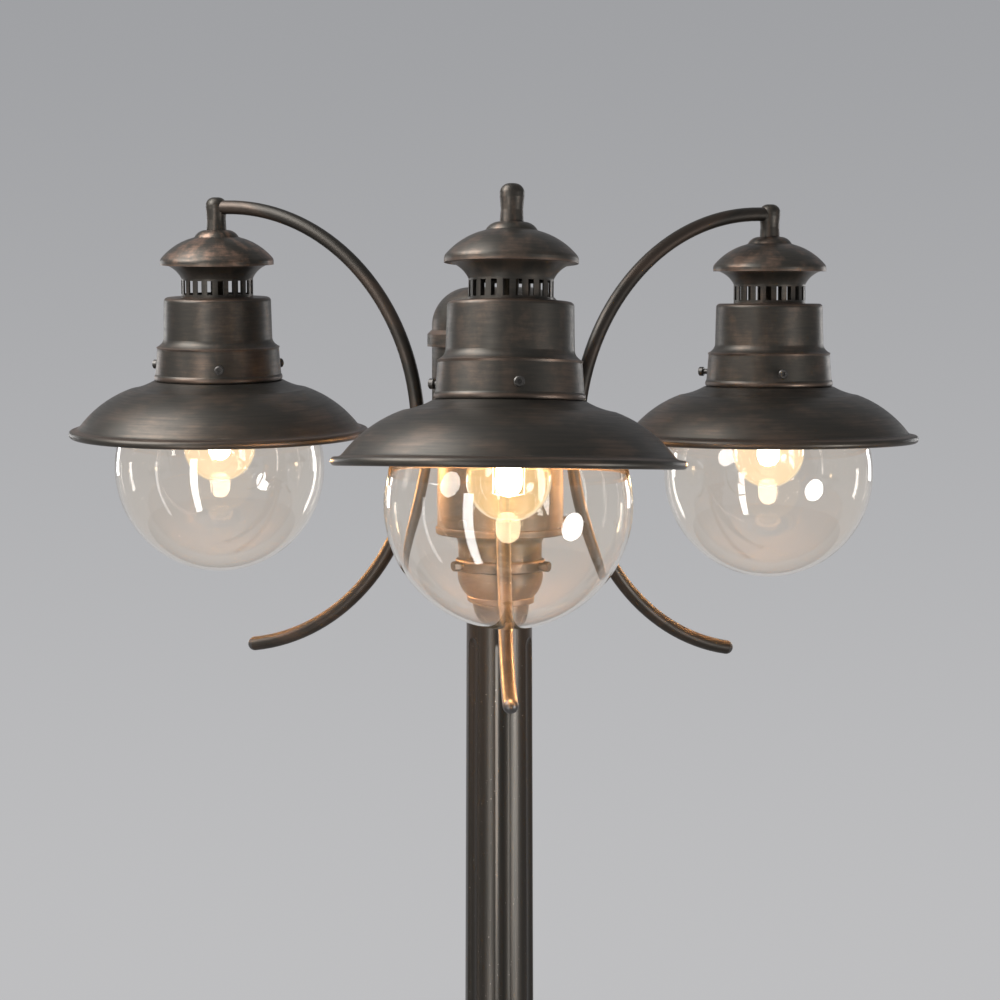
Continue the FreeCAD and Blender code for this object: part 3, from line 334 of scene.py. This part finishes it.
def object_place(tree):
    return tree.nodes.new("ShaderNodeTexCoord").outputs["Object"]


def bumped(tree, shader, height, strength, distance):
    """Bump the shader's surface by a height."""
    bump = tree.nodes.new("ShaderNodeBump")
    bump.inputs["Strength"].default_value = strength
    bump.inputs["Distance"].default_value = distance
    tree.links.new(height, bump.inputs["Height"])
    tree.links.new(bump.outputs[0], shader.inputs["Normal"])


def vector_math(tree, operation, vector, scale=None):
    """Vector math node on one vector."""
    node = tree.nodes.new("ShaderNodeVectorMath")
    node.operation = operation
    tree.links.new(vector, node.inputs[0])
    if scale is not None:
        plug(tree, scale, node.inputs["Scale"])
    return node


def noise(tree, vector, scale, detail, roughness=0.5):
    node = tree.nodes.new("ShaderNodeTexNoise")
    tree.links.new(vector, node.inputs["Vector"])
    node.inputs["Scale"].default_value = scale
    node.inputs["Detail"].default_value = detail
    node.inputs["Roughness"].default_value = roughness
    return node.outputs["Fac"]


def ramp(tree, value, low, high, to_low=0.0, to_high=1.0):
    """Smooth step of a value from low to high."""
    node = tree.nodes.new("ShaderNodeMapRange")
    node.interpolation_type = "SMOOTHSTEP"
    plug(tree, value, node.inputs["Value"])
    for name, number in (("From Min", low), ("From Max", high), ("To Min", to_low),
                         ("To Max", to_high)):
        plug(tree, number, node.inputs[name])
    return node.outputs["Result"]


def mixed(tree, fac, a, b):
    node = tree.nodes.new("ShaderNodeMix")
    node.data_type = "RGBA"
    plug(tree, fac, node.inputs["Factor"])
    plug(tree, a, node.inputs[6])
    plug(tree, b, node.inputs[7])
    return node.outputs[2]


def new_group(name, inputs, outputs):
    """Shader node group; inputs and outputs are (name, socket kind, plain value or None)."""
    group = bpy.data.node_groups.new(name, "ShaderNodeTree")
    for way, sockets in (("INPUT", inputs), ("OUTPUT", outputs)):
        for label, kind, value in sockets:
            socket = group.interface.new_socket(name=label, in_out=way,
                                                socket_type="NodeSocket" + kind)
            if value is not None:
                socket.default_value = value
    start = group.nodes.new("NodeGroupInput")
    end = group.nodes.new("NodeGroupOutput")
    return group, start, end


def turning_marks():
    """Place on a turned piece, scaled separately around its axis and along its profile."""
    group, start, end = new_group(
        "Turning marks",
        [("Vector", "Vector", None), ("Around", "Float", 1.0), ("Along", "Float", 1.0)],
        [("Vector", "Vector", None)])
    links = group.links
    split = group.nodes.new("ShaderNodeSeparateXYZ")
    links.new(start.outputs["Vector"], split.inputs[0])
    flat = group.nodes.new("ShaderNodeCombineXYZ")
    links.new(split.outputs["X"], flat.inputs["X"])
    links.new(split.outputs["Y"], flat.inputs["Y"])
    length = vector_math(group, "LENGTH", flat.outputs[0])
    heading = vector_math(group, "NORMALIZE", flat.outputs[0])
    turn = vector_math(group, "SCALE", heading.outputs[0], start.outputs["Around"])
    parts = group.nodes.new("ShaderNodeSeparateXYZ")
    links.new(turn.outputs[0], parts.inputs[0])
    outwards = math_node(group, "MULTIPLY", length.outputs["Value"], OUTWARD_SHARE)
    downwards = math_node(group, "MULTIPLY", split.outputs["Z"], DOWNWARD_SHARE)
    profile = math_node(group, "ADD", outwards, downwards)
    joined = group.nodes.new("ShaderNodeCombineXYZ")
    links.new(parts.outputs["X"], joined.inputs["X"])
    links.new(parts.outputs["Y"], joined.inputs["Y"])
    links.new(math_node(group, "MULTIPLY", profile, start.outputs["Along"]), joined.inputs["Z"])
    links.new(joined.outputs[0], end.inputs["Vector"])
    return group


def bronze_patina():
    """Dark bronze paint, brushed over with brown, and copper where Edge is high: worn paint there,
    and a painted highlight.
    """
    group, start, end = new_group(
        "Bronze patina",
        [("Streak", "Vector", None), ("Patch", "Vector", None), ("Grain", "Vector", None),
         ("Copper", "Float", 0.3), ("Edge", "Float", 0.0), ("Specks", "Float", 0.0),
         ("Tone", "Float", 1.0)],
        [("Color", "Color", None), ("Roughness", "Float", None), ("Height", "Float", None)])
    streak = noise(group, start.outputs["Streak"], 1.0, 5.0, 0.65)
    broad = noise(group, start.outputs["Patch"], 1.0, 4.0, 0.6)
    grain = noise(group, start.outputs["Grain"], GRAIN_SCALE, 2.0)
    lines = ramp(group, streak, *LINE_RANGE)
    areas = ramp(group, broad, *AREA_RANGE)
    brushed = math_node(group, "MULTIPLY", areas, math_node(group, "ADD", lines, 0.25))
    amount = math_node(group, "MULTIPLY", brushed, start.outputs["Copper"])
    broken = math_node(group, "ADD", math_node(group, "MULTIPLY", lines, 0.25), 0.12)
    # copper where Edge is high: paint worn through on rolled edges, and a painted highlight along
    # them
    wear_and_highlight = math_node(group, "MULTIPLY", start.outputs["Edge"], broken)
    copper = math_node(group, "MINIMUM", math_node(group, "ADD", amount, wear_and_highlight), 1.0)
    brown = math_node(group, "ADD", math_node(group, "MULTIPLY", lines, 0.6),
                      math_node(group, "MULTIPLY", areas, 0.5))
    ground = mixed(group, brown, DARK_BRONZE, BROWN_BRONZE)
    painted = vector_math(group, "SCALE", mixed(group, copper, ground, COPPER),
                          start.outputs["Tone"]).outputs[0]
    dots = math_node(group, "MULTIPLY", ramp(group, grain, *DOT_RANGE), start.outputs["Specks"])
    group.links.new(mixed(group, dots, painted, PALE_SPECK), end.inputs["Color"])
    rough = ramp(group, streak, 0.3, 0.7, *BRONZE_ROUGHNESS)
    group.links.new(rough, end.inputs["Roughness"])
    height = math_node(group, "ADD", math_node(group, "MULTIPLY", streak, 0.5),
                       math_node(group, "MULTIPLY", grain, 0.4))
    group.links.new(height, end.inputs["Height"])
    return group


TURNING = turning_marks()
PATINA = bronze_patina()


def place_group(tree, group):
    node = tree.nodes.new("ShaderNodeGroup")
    node.node_tree = group
    return node


def own_frame(tree, place):
    """Object coordinates seen from a frame on the piece, in metres."""
    where = tree.nodes.new("ShaderNodeTexCoord")
    mapping = tree.nodes.new("ShaderNodeMapping")
    mapping.vector_type = "TEXTURE"
    mapping.inputs["Location"].default_value = place.translation
    mapping.inputs["Rotation"].default_value = place.to_euler()
    tree.links.new(where.outputs["Object"], mapping.inputs["Vector"])
    return mapping.outputs[0]


def wear_and_highlight_bands(tree, vector, bands):
    """Mask that is high on rolled edges, for their worn paint and their painted highlight, given as
    (drop, half width) in millimetres.
    """
    split = tree.nodes.new("ShaderNodeSeparateXYZ")
    tree.links.new(vector, split.inputs[0])
    mask = None
    for drop, half in bands:
        away = math_node(tree, "ABSOLUTE", math_node(tree, "ADD", split.outputs["Z"], drop * MM))
        band = ramp(tree, away, half * MM, 0.3 * half * MM)   # full over the middle third
        mask = band if mask is None else math_node(tree, "MAXIMUM", mask, band)
    return mask


def bronze(name, place, copper, marks=LAMP_MARKS, specks=0.0, bands=(), shine=0.0, tone=1.0):
    """Painted bronze, brushed around a frame's Z axis."""
    material, tree, shader = shader_tree(name)
    vector = own_frame(tree, place)
    patina = place_group(tree, PATINA)
    patina.inputs["Copper"].default_value = copper
    patina.inputs["Specks"].default_value = specks
    patina.inputs["Tone"].default_value = tone
    tree.links.new(vector, patina.inputs["Grain"])
    for label, (around, along) in zip(("Streak", "Patch"), marks):
        turning = place_group(tree, TURNING)
        turning.inputs["Around"].default_value = around
        turning.inputs["Along"].default_value = along
        tree.links.new(vector, turning.inputs["Vector"])
        tree.links.new(turning.outputs["Vector"], patina.inputs[label])
    # rolled edges lighter in copper: worn paint, and a painted highlight along them
    if bands:
        tree.links.new(wear_and_highlight_bands(tree, vector, bands), patina.inputs["Edge"])
    tree.links.new(patina.outputs["Color"], shader.inputs["Base Color"])
    rough = math_node(tree, "SUBTRACT", patina.outputs["Roughness"], shine)
    tree.links.new(rough, shader.inputs["Roughness"])
    bumped(tree, shader, patina.outputs["Height"], *BRONZE_BUMP)
    shader.inputs["Metallic"].default_value = BRONZE_METALLIC
    return material


def clear_glass(name, tint, glow):
    """Glass with faint waves from blowing, and a faint painted glow in the lamp's colour."""
    material, tree, shader = shader_tree(name)
    shader.inputs["Base Color"].default_value = tint
    shader.inputs["Roughness"].default_value = 0.0
    shader.inputs["IOR"].default_value = GLASS_IOR
    shader.inputs["Transmission Weight"].default_value = 1.0
    # painted glow: emission in the lamp's colour, standing in for its light in the glass
    shader.inputs["Emission Color"].default_value = GLOW
    shader.inputs["Emission Strength"].default_value = glow
    bumped(tree, shader, noise(tree, object_place(tree), GLASS_WAVES, 1.0), *GLASS_BUMP)
    pass_light(tree, shader)
    return material


def pass_light(tree, shader):
    """Let the light of lamps straight through."""
    paths = tree.nodes.new("ShaderNodeLightPath")
    through = tree.nodes.new("ShaderNodeBsdfTransparent")
    either = tree.nodes.new("ShaderNodeMixShader")
    tree.links.new(paths.outputs["Is Shadow Ray"], either.inputs[0])
    tree.links.new(shader.outputs[0], either.inputs[1])
    tree.links.new(through.outputs[0], either.inputs[2])
    tree.links.new(either.outputs[0], tree.nodes["Material Output"].inputs["Surface"])


def speckled(name, color, metallic, roughness, scale=900.0, depth=0.15):
    """Plain finish broken up by fine grain."""
    material, tree, shader = shader_tree(name)
    grain = noise(tree, object_place(tree), scale, 4.0)
    darker = tuple(0.7 * c for c in color[:3]) + (1,)
    tree.links.new(mixed(tree, ramp(tree, grain, 0.35, 0.65), darker, color),
                   shader.inputs["Base Color"])
    tree.links.new(ramp(tree, grain, 0.2, 0.8, roughness - 0.06, roughness + 0.06),
                   shader.inputs["Roughness"])
    bumped(tree, shader, grain, depth, 0.0003)
    shader.inputs["Metallic"].default_value = metallic
    return material


def glowing(name, color, strength):
    """Hot wire, a little uneven along its coil."""
    material, tree, shader = shader_tree(name)
    uneven = noise(tree, object_place(tree), 180.0, 2.0)
    cooler = (color[0], 0.8 * color[1], 0.6 * color[2], 1)
    tree.links.new(mixed(tree, uneven, cooler, color), shader.inputs["Emission Color"])
    shader.inputs["Base Color"].default_value = WIRE_BODY
    shader.inputs["Emission Strength"].default_value = strength
    return material


def painted_glow_capsule(name, head):
    """Quartz with a painted glow that stands in for the filament's light in it, dimmer and redder
    towards its ends.
    """
    material, tree, shader = shader_tree(name)
    middle = upright_frame(head) @ Matrix.Translation((0, 0, -CAPSULE_DROP * MM))
    vector = own_frame(tree, middle)
    length = vector_math(tree, "LENGTH", vector).outputs["Value"]
    away = ramp(tree, length, 0.25 * CAPSULE_H * MM, 0.62 * CAPSULE_H * MM)
    # painted glow, fading from the capsule's middle to its ends
    tree.links.new(mixed(tree, away, CAPSULE_GLOW, CAPSULE_END_GLOW),
                   shader.inputs["Emission Color"])
    shader.inputs["Base Color"].default_value = QUARTZ
    shader.inputs["Roughness"].default_value = 0.3
    shader.inputs["Emission Strength"].default_value = CAPSULE_STRENGTH
    pass_light(tree, shader)
    return material


# ---- pieces -----------------------------------------------------------------------------------
def globe(head, material):
    """Blown globe of one wall, with its neck and lip."""
    inner_r = GLOBE_NECK_R - GLOBE_WALL
    inner_ball = GLOBE_R - GLOBE_WALL
    ball_drop = GLOBE_CENTRE_DROP - math.sqrt(GLOBE_R**2 - GLOBE_NECK_R**2)
    inner_drop = GLOBE_CENTRE_DROP - math.sqrt(inner_ball**2 - inner_r**2)
    foot = GLOBE_CENTRE_DROP + GLOBE_R
    lip_foot = GLOBE_DROP + GLOBE_LIP_H
    rim_r = GLOBE_LIP_R - GLOBE_LIP_ROUND
    bend = ROUND_SHARE * GLOBE_LIP_ROUND
    piece = turned("clear_globe_" + head,
                   (0, foot),
                   ((GLOBE_R, GLOBE_CENTRE_DROP), (GLOBE_NECK_R, ball_drop)),
                   (GLOBE_NECK_R, lip_foot),
                   (rim_r, lip_foot),
                   ((GLOBE_LIP_R, GLOBE_DROP + GLOBE_LIP_H / 2), (rim_r, GLOBE_DROP)),
                   (inner_r + GLOBE_LIP_ROUND, GLOBE_DROP),
                   ((inner_r + bend, GLOBE_DROP + bend), (inner_r, GLOBE_DROP + GLOBE_LIP_ROUND)),
                   (inner_r, inner_drop),
                   ((inner_ball, GLOBE_CENTRE_DROP), (0, foot - GLOBE_WALL)),
                   steps=128, step=3)
    fit(piece, lamp_frame(head), "post", material, "globe_" + head)


def post_r(height):
    """Outer radius of the tapering post at a height above the ground."""
    share = (POST_TOP - height) / (POST_TOP - PLATE_T)
    return POST_TOP_R + share * (POST_FOOT_R - POST_TOP_R)


def flute_cutter():
    """Bar with round ends, lying along the post's taper, for one flute."""
    half = FLUTE_W / 2
    sink = FLUTE_DEPTH - post_r(FLUTE_TOP) + math.sqrt(post_r(FLUTE_TOP)**2 - half**2)
    cutter_r = (half**2 + sink**2) / (2 * sink)
    reach = math.sqrt(cutter_r**2 - (cutter_r - FLUTE_DEPTH)**2)
    high, low = FLUTE_TOP - reach, FLUTE_FOOT + reach
    bend = cutter_r * math.sqrt(0.5)
    bar = turned("flute_cutter", (0, -high - cutter_r), ((bend, -high - bend), (cutter_r, -high)),
                 (cutter_r, -low), ((bend, -low + bend), (0, -low + cutter_r)), step=5)
    lean = math.atan2(post_r(low) - post_r(high), high - low)
    bar.data.transform(Matrix.Translation((post_r(high) + cutter_r - FLUTE_DEPTH, 0, high))
                       @ Matrix.Rotation(-lean, 4, "Y") @ Matrix.Translation((0, 0, -high)))
    return bar


def fluted_post(material):
    """Tapering tube with its flutes and the holes for the foot's screws."""
    rows = [PLATE_T + (POST_TOP - PLATE_T) * k / POST_ROWS for k in range(POST_ROWS + 1)]
    outside = [(post_r(z), -z) for z in rows]
    inside = [(post_r(z) - POST_WALL, -z) for z in reversed(rows)]
    tube = turned("fluted_post", *outside, *inside, outside[0], steps=POST_SIDES)
    bar = flute_cutter()
    bpy.ops.mesh.primitive_cylinder_add(vertices=DRILL_SIDES, radius=FOOT_SCREW_HOLE_R,
                                        depth=DRILL_L,
                                        location=(POST_FOOT_R, 0, FOOT_SCREW_HEIGHT),
                                        rotation=(0, math.pi / 2, 0))
    drill = bpy.context.active_object
    bpy.ops.object.transform_apply(location=True, rotation=True, scale=True)
    angles = [FLUTE_AZIMUTH + k * 360 / FLUTE_COUNT for k in range(FLUTE_COUNT)]
    for tool, places in ((bar, angles), (drill, BETWEEN_ARMS)):
        for angle in places:
            tool.data.transform(Matrix.Rotation(math.radians(angle), 4, "Z"))
            cut = tube.modifiers.new("cut", "BOOLEAN")
            cut.object = tool
            cut.solver = "EXACT"
            bpy.ops.object.select_all(action="DESELECT")
            bpy.context.view_layer.objects.active = tube
            bpy.ops.object.modifier_apply(modifier=cut.name)
            tool.data.transform(Matrix.Rotation(math.radians(-angle), 4, "Z"))
        bpy.data.objects.remove(tool)
    fit(tube, Matrix.Scale(MM, 4), "post", material, "post_tube", crease=POST_CREASE)


def bulb_wall(inset):
    """Radii and points of the bulb's glass, drawn in by inset: neck, waist, join and ball."""
    ball_r = BULB_R - inset
    neck_r = BULB_NECK_R - inset
    turn = math.radians(BULB_JOIN_ANGLE)
    join = (ball_r * math.cos(turn), BULB_CENTRE_DROP - ball_r * math.sin(turn))
    out, down = BULB_WAIST
    waist = (neck_r + out * (join[0] - neck_r),
             BULB_NECK_DROP + down * (join[1] - BULB_NECK_DROP))
    return neck_r, waist, join, ball_r


def bulb_glass(head, material):
    """Pear of thin glass, open inside the screw cap."""
    neck_r, waist, join, ball_r = bulb_wall(0)
    neck_in, waist_in, join_in, ball_in = bulb_wall(BULB_WALL)
    neck_foot = BULB_NECK_DROP + BULB_NECK_H
    piece = turned("clear_bulb_" + head,
                   (0, BULB_CENTRE_DROP + ball_r), ((ball_r, BULB_CENTRE_DROP), join),
                   (waist, (neck_r, neck_foot)),
                   (neck_r, BULB_NECK_DROP), (neck_in, BULB_NECK_DROP),
                   (neck_in, neck_foot), (waist_in, join_in),
                   ((ball_in, BULB_CENTRE_DROP), (0, BULB_CENTRE_DROP + ball_in)),
                   steps=72, step=5)
    fit(piece, lamp_frame(head), "bulb_" + head, material, "bulb_glass_" + head)


def bulb_stem(head, material):
    """Flared glass stem that stands in the bulb's neck."""
    tip, top = STEM_TIP_DROP, STEM_TOP_DROP
    edge, bend, root = (top + drop for drop in STEM_FLARE_DROPS)
    round_middle = ((1 - ROUND_SHARE) * STEM_R, tip - ROUND_SHARE * STEM_R)
    piece = turned("bulb_stem_" + head,
                   (0, tip), (round_middle, (STEM_R, tip - STEM_R)),
                   (STEM_R, root), ((STEM_FLARE_BEND_R, bend), (STEM_FLARE_R, edge)),
                   (STEM_FLARE_R, top), (0, top), steps=32, step=12)
    fit(piece, lamp_frame(head), "bulb_" + head, material, "bulb_filament_" + head)


def bulb_wires(head, material):
    """Two wires from the stem down both sides of the capsule, and back in under it."""
    bpy.ops.object.select_all(action="DESELECT")
    pair = []
    for side in (-1, 1):
        corners = [Vector((0, side * y, -drop)) for y, drop in WIRE_CORNERS]
        for start, end in zip(corners, corners[1:]):
            run = end - start
            bpy.ops.mesh.primitive_cylinder_add(vertices=12, radius=WIRE_R,
                                                depth=run.length + WIRE_OVERLAP,
                                                location=(start + end) / 2,
                                                rotation=run.to_track_quat("Z", "Y").to_euler())
            bpy.ops.object.transform_apply(location=True, rotation=True, scale=True)
            pair.append(bpy.context.active_object)
    for wire in pair:
        wire.select_set(True)
    bpy.ops.object.join()
    piece = bpy.context.active_object
    piece.name = piece.data.name = "bulb_wires_" + head
    fit(piece, lamp_frame(head), "bulb_" + head, material, "bulb_filament_" + head)


def filament(head, material):
    """Coiled wire, upright in the middle of the capsule."""
    bpy.ops.object.select_all(action="DESELECT")
    bpy.ops.mesh.primitive_circle_add(vertices=COIL_WIRE_SIDES, radius=COIL_WIRE_R,
                                      location=(COIL_R, 0, 0), rotation=(math.pi / 2, 0, 0))
    bpy.ops.object.transform_apply(location=True, rotation=True, scale=True)
    piece = bpy.context.active_object
    piece.name = piece.data.name = "filament_" + head
    coil = piece.modifiers.new("coil", "SCREW")
    coil.axis = "Z"
    coil.angle = 2 * math.pi
    coil.iterations = COIL_TURNS
    coil.screw_offset = FILAMENT_SPAN / COIL_TURNS
    coil.steps = coil.render_steps = 10
    bpy.ops.object.modifier_apply(modifier=coil.name)
    bpy.ops.object.mode_set(mode="EDIT")
    bpy.ops.mesh.select_all(action="SELECT")
    bpy.ops.mesh.fill_holes(sides=COIL_WIRE_SIDES)
    bpy.ops.mesh.select_all(action="SELECT")
    bpy.ops.mesh.normals_make_consistent(inside=False)
    bpy.ops.object.mode_set(mode="OBJECT")
    piece.data.transform(Matrix.Translation((0, 0, -CAPSULE_DROP - FILAMENT_SPAN / 2)))
    fit(piece, lamp_frame(head), "bulb_" + head, material, "bulb_filament_" + head)


def capsule(head, material):
    """Quartz capsule around the filament, pinched shut at its top and with a tip below."""
    top, foot = CAPSULE_TOP_DROP, CAPSULE_FOOT_DROP
    low_bend, high_bend = CAPSULE_BENDS
    low_end, high_end = CAPSULE_ENDS
    tip_r, tip_h = CAPSULE_TIP
    pinch_r, pinch_h = CAPSULE_PINCH
    piece = turned("quartz_capsule_" + head,
                   (0, foot), (tip_r, foot - tip_h),
                   ((CAPSULE_BEND_R, foot - low_bend), (CAPSULE_R, foot - low_end)),
                   (CAPSULE_R, top + high_end),
                   ((CAPSULE_BEND_R, top + high_bend), (pinch_r, top + pinch_h)), (0, top),
                   steps=48, step=8)
    fit(piece, lamp_frame(head), "bulb_" + head, material, "bulb_filament_" + head)


# ---- dressing ---------------------------------------------------------------------------------
def dress_nodes(plain):
    """A finish for every node that keeps its own shape, from the plain ones and the bronzes."""
    hub_place = Matrix.Translation((0, 0, ARM_HEIGHT * MM))
    hub_bronze = bronze("bronze_hub", hub_place, HUB_COPPER, bands=HUB_EDGES)
    base_bronze = bronze("bronze_base", Matrix.Identity(4), HUB_COPPER)
    arm_bronze = bronze("bronze_arms", hub_place, HUB_COPPER, ARM_MARKS, tone=ARM_TONE)
    steel = plain["black_screw_steel"]
    finishes = {"hub_seal": plain["seal_rubber"], "globe_gaskets": plain["seal_rubber"],
                "hub_screws": steel, "post_set_screws": steel,
                "nipples": plain["aged_brass"], "lock_nuts": plain["aged_brass"],
                "terminal_block": plain["block_plastic"], "arm_tips": plain["plug_black"],
                "arm_brackets": hub_bronze, "base_plate": base_bronze, "base_cover": base_bronze}
    for node in ("hub_lid", "hub_body", "hub_socket"):
        finishes[node] = hub_bronze
    for head in HEADS:
        upright = upright_frame(head)
        lamp_bronze = bronze("bronze_lamp_" + head, upright, LAMP_COPPER, bands=LAMP_EDGES,
                             tone=LAMP_TONE)
        cap_bronze = bronze("bronze_cap_" + head, upright, CAP_COPPER[head], bands=LAMP_EDGES)
        for node in ("elbow_", "vent_cage_", "barrel_", "shade_"):
            finishes[node + head] = lamp_bronze
        finishes["cap_" + head] = cap_bronze
        finishes["arm_" + head] = arm_bronze
        finishes["arm_lead_" + head] = plain["flex_sheath"]
        finishes["lampholder_" + head] = plain["holder_porcelain"]
        finishes["bulb_cap_" + head] = plain["cap_nickel"]
        for number in (1, 2, 3):
            finishes["globe_screw_%s_%d" % (head, number)] = steel
    for node, finish in finishes.items():
        nodes[node].data.materials.clear()
        nodes[node].data.materials.append(finish)


# ---- studio -----------------------------------------------------------------------------------
LOW_GREY = (0.52, 0.52, 0.53, 1)
HIGH_GREY = (0.34, 0.345, 0.36, 1)
GREY_TURNS = (-0.26, 0.16)            # from low to high grey, as the upward share of a direction
FLOOR_R = 3.0
FLOOR_GREY = (0.46, 0.46, 0.465, 1)

# name, shape, size, place before the camera's turn, height looked at on the post's axis, watts
STUDIO_LAMPS = (
    ("round_softbox", "DISK", (0.64, 0.64), (1.41, -1.02, 1.46), 1.95, 20.0),
    ("top_softbox", "DISK", (1.4, 1.4), (-1.15, -0.1, 3.35), 1.95, 38.0),
    ("side_softbox", "DISK", (1.3, 1.3), (-1.45, -0.6, 2.95), 1.95, 40.0),
    ("tall_strip", "RECTANGLE", (0.24, 2.0), (-0.86, -1.42, 1.22), 1.22, 19.0),
    ("thin_strip", "RECTANGLE", (0.05, 1.5), (-1.55, -0.45, 1.3), 1.3, 1.2),
    ("back_strip_left", "RECTANGLE", (0.2, 0.5), (-1.16, 1.38, 2.0), 2.0, 2.0),
    ("back_strip_right", "RECTANGLE", (0.2, 0.5), (1.16, 1.38, 2.0), 2.0, 2.0),
)
FILAMENT_WATTS = {"front": 11.0, "right": 6.5, "left": 6.5}
FILAMENT_LIGHT = (1.0, 0.48, 0.17)
FILAMENT_LIGHT_R = 0.008


def hang_lamp(name, light, at):
    """Object for a light, at its place."""
    lamp = bpy.data.objects.new(name, light)
    bpy.context.scene.collection.objects.link(lamp)
    lamp.location = at
    return lamp


def area_lamp(name, shape, size, at, look_height, watts):
    """Softbox or strip that faces the post's axis."""
    light = bpy.data.lights.new(name, "AREA")
    light.shape = shape
    light.size, light.size_y = size
    light.energy = watts
    aim = Vector((0, 0, look_height)) - at
    hang_lamp(name, light, at).rotation_euler = aim.to_track_quat("-Z", "Y").to_euler()


def lit_bulbs():
    """The light that each filament throws on the shades, the hub and the arms."""
    for head in HEADS:
        light = bpy.data.lights.new("filament_light_" + head, "POINT")
        light.energy = FILAMENT_WATTS[head]
        light.color = FILAMENT_LIGHT
        light.shadow_soft_size = FILAMENT_LIGHT_R
        hang_lamp(light.name, light, lamp_frame(head) @ Vector((0, 0, -BULB_CENTRE_DROP)))


def studio():
    """Softboxes and strips around the object, the lit bulbs and the world."""
    turn = Matrix.Rotation(math.radians(CAMERA_TURN), 3, "Z")
    for name, shape, size, spot, look_height, watts in STUDIO_LAMPS:
        area_lamp(name, shape, size, turn @ Vector(spot), look_height, watts)
    lit_bulbs()
    pale_world()


def pale_world():
    """Pale grey all round, a little darker above."""
    world = bpy.data.worlds.new("pale_studio")
    bpy.context.scene.world = world
    world.use_nodes = True
    tree = world.node_tree
    where = tree.nodes.new("ShaderNodeTexCoord")
    split = tree.nodes.new("ShaderNodeSeparateXYZ")
    tree.links.new(where.outputs["Generated"], split.inputs[0])
    up = ramp(tree, split.outputs["Z"], *GREY_TURNS)
    tree.links.new(mixed(tree, up, LOW_GREY, HIGH_GREY), tree.nodes["Background"].inputs[0])
    tree.nodes["Background"].inputs[1].default_value = 1.0


def floor():
    """Pale round floor, which isn't part of the object."""
    bpy.ops.object.select_all(action="DESELECT")
    bpy.ops.mesh.primitive_circle_add(vertices=96, radius=FLOOR_R, fill_type="NGON")
    ground = bpy.context.active_object
    ground.name = "studio_floor"
    material, _, shader = shader_tree("pale_floor")
    shader.inputs["Base Color"].default_value = FLOOR_GREY
    shader.inputs["Roughness"].default_value = 0.9
    ground.data.materials.append(material)


def camera():
    """The photo's camera, as solved from its three lamps."""
    data = bpy.data.cameras.new("photo_camera")
    data.sensor_width = SENSOR
    data.lens = LENS
    eye = bpy.data.objects.new("photo_camera", data)
    bpy.context.scene.collection.objects.link(eye)
    turn = Matrix.Rotation(math.radians(CAMERA_TURN), 3, "Z")
    eye.location = turn @ Vector((CAMERA_SIDE, -CAMERA_DISTANCE, ARM_HEIGHT - CAMERA_DROP)) * MM
    eye.rotation_euler = (math.radians(90 + CAMERA_PITCH), 0, math.radians(CAMERA_TURN))
    bpy.context.scene.camera = eye


# ---- build ------------------------------------------------------------------------------------
glasses = {name: clear_glass(name, *values) for name, values in GLASSES.items()}
hot_wire = glowing("hot_filament", WIRE_GLOW, WIRE_STRENGTH)
plain_finishes = {name: speckled(name, *values) for name, values in PLAIN.items()}
post_bronze = bronze("bronze_post", Matrix.Identity(4), POST_COPPER, POST_MARKS,
                     specks=POST_SPECKS, shine=POST_SHINE, tone=POST_TONE)
painted_glow_quartz = {head: painted_glow_capsule("painted_glow_quartz_" + head, head) for head in HEADS}
dress_nodes(plain_finishes)
fluted_post(post_bronze)
for name in HEADS:
    globe(name, glasses["globe_glass"])
    bulb_glass(name, glasses["bulb_glass"])
    bulb_stem(name, glasses["stem_glass"])
    bulb_wires(name, plain_finishes["nickel_wire"])
    filament(name, hot_wire)
    capsule(name, painted_glow_quartz[name])
floor()
studio()
camera()

scene_view = bpy.context.scene.view_settings
scene_view.view_transform = "Standard"
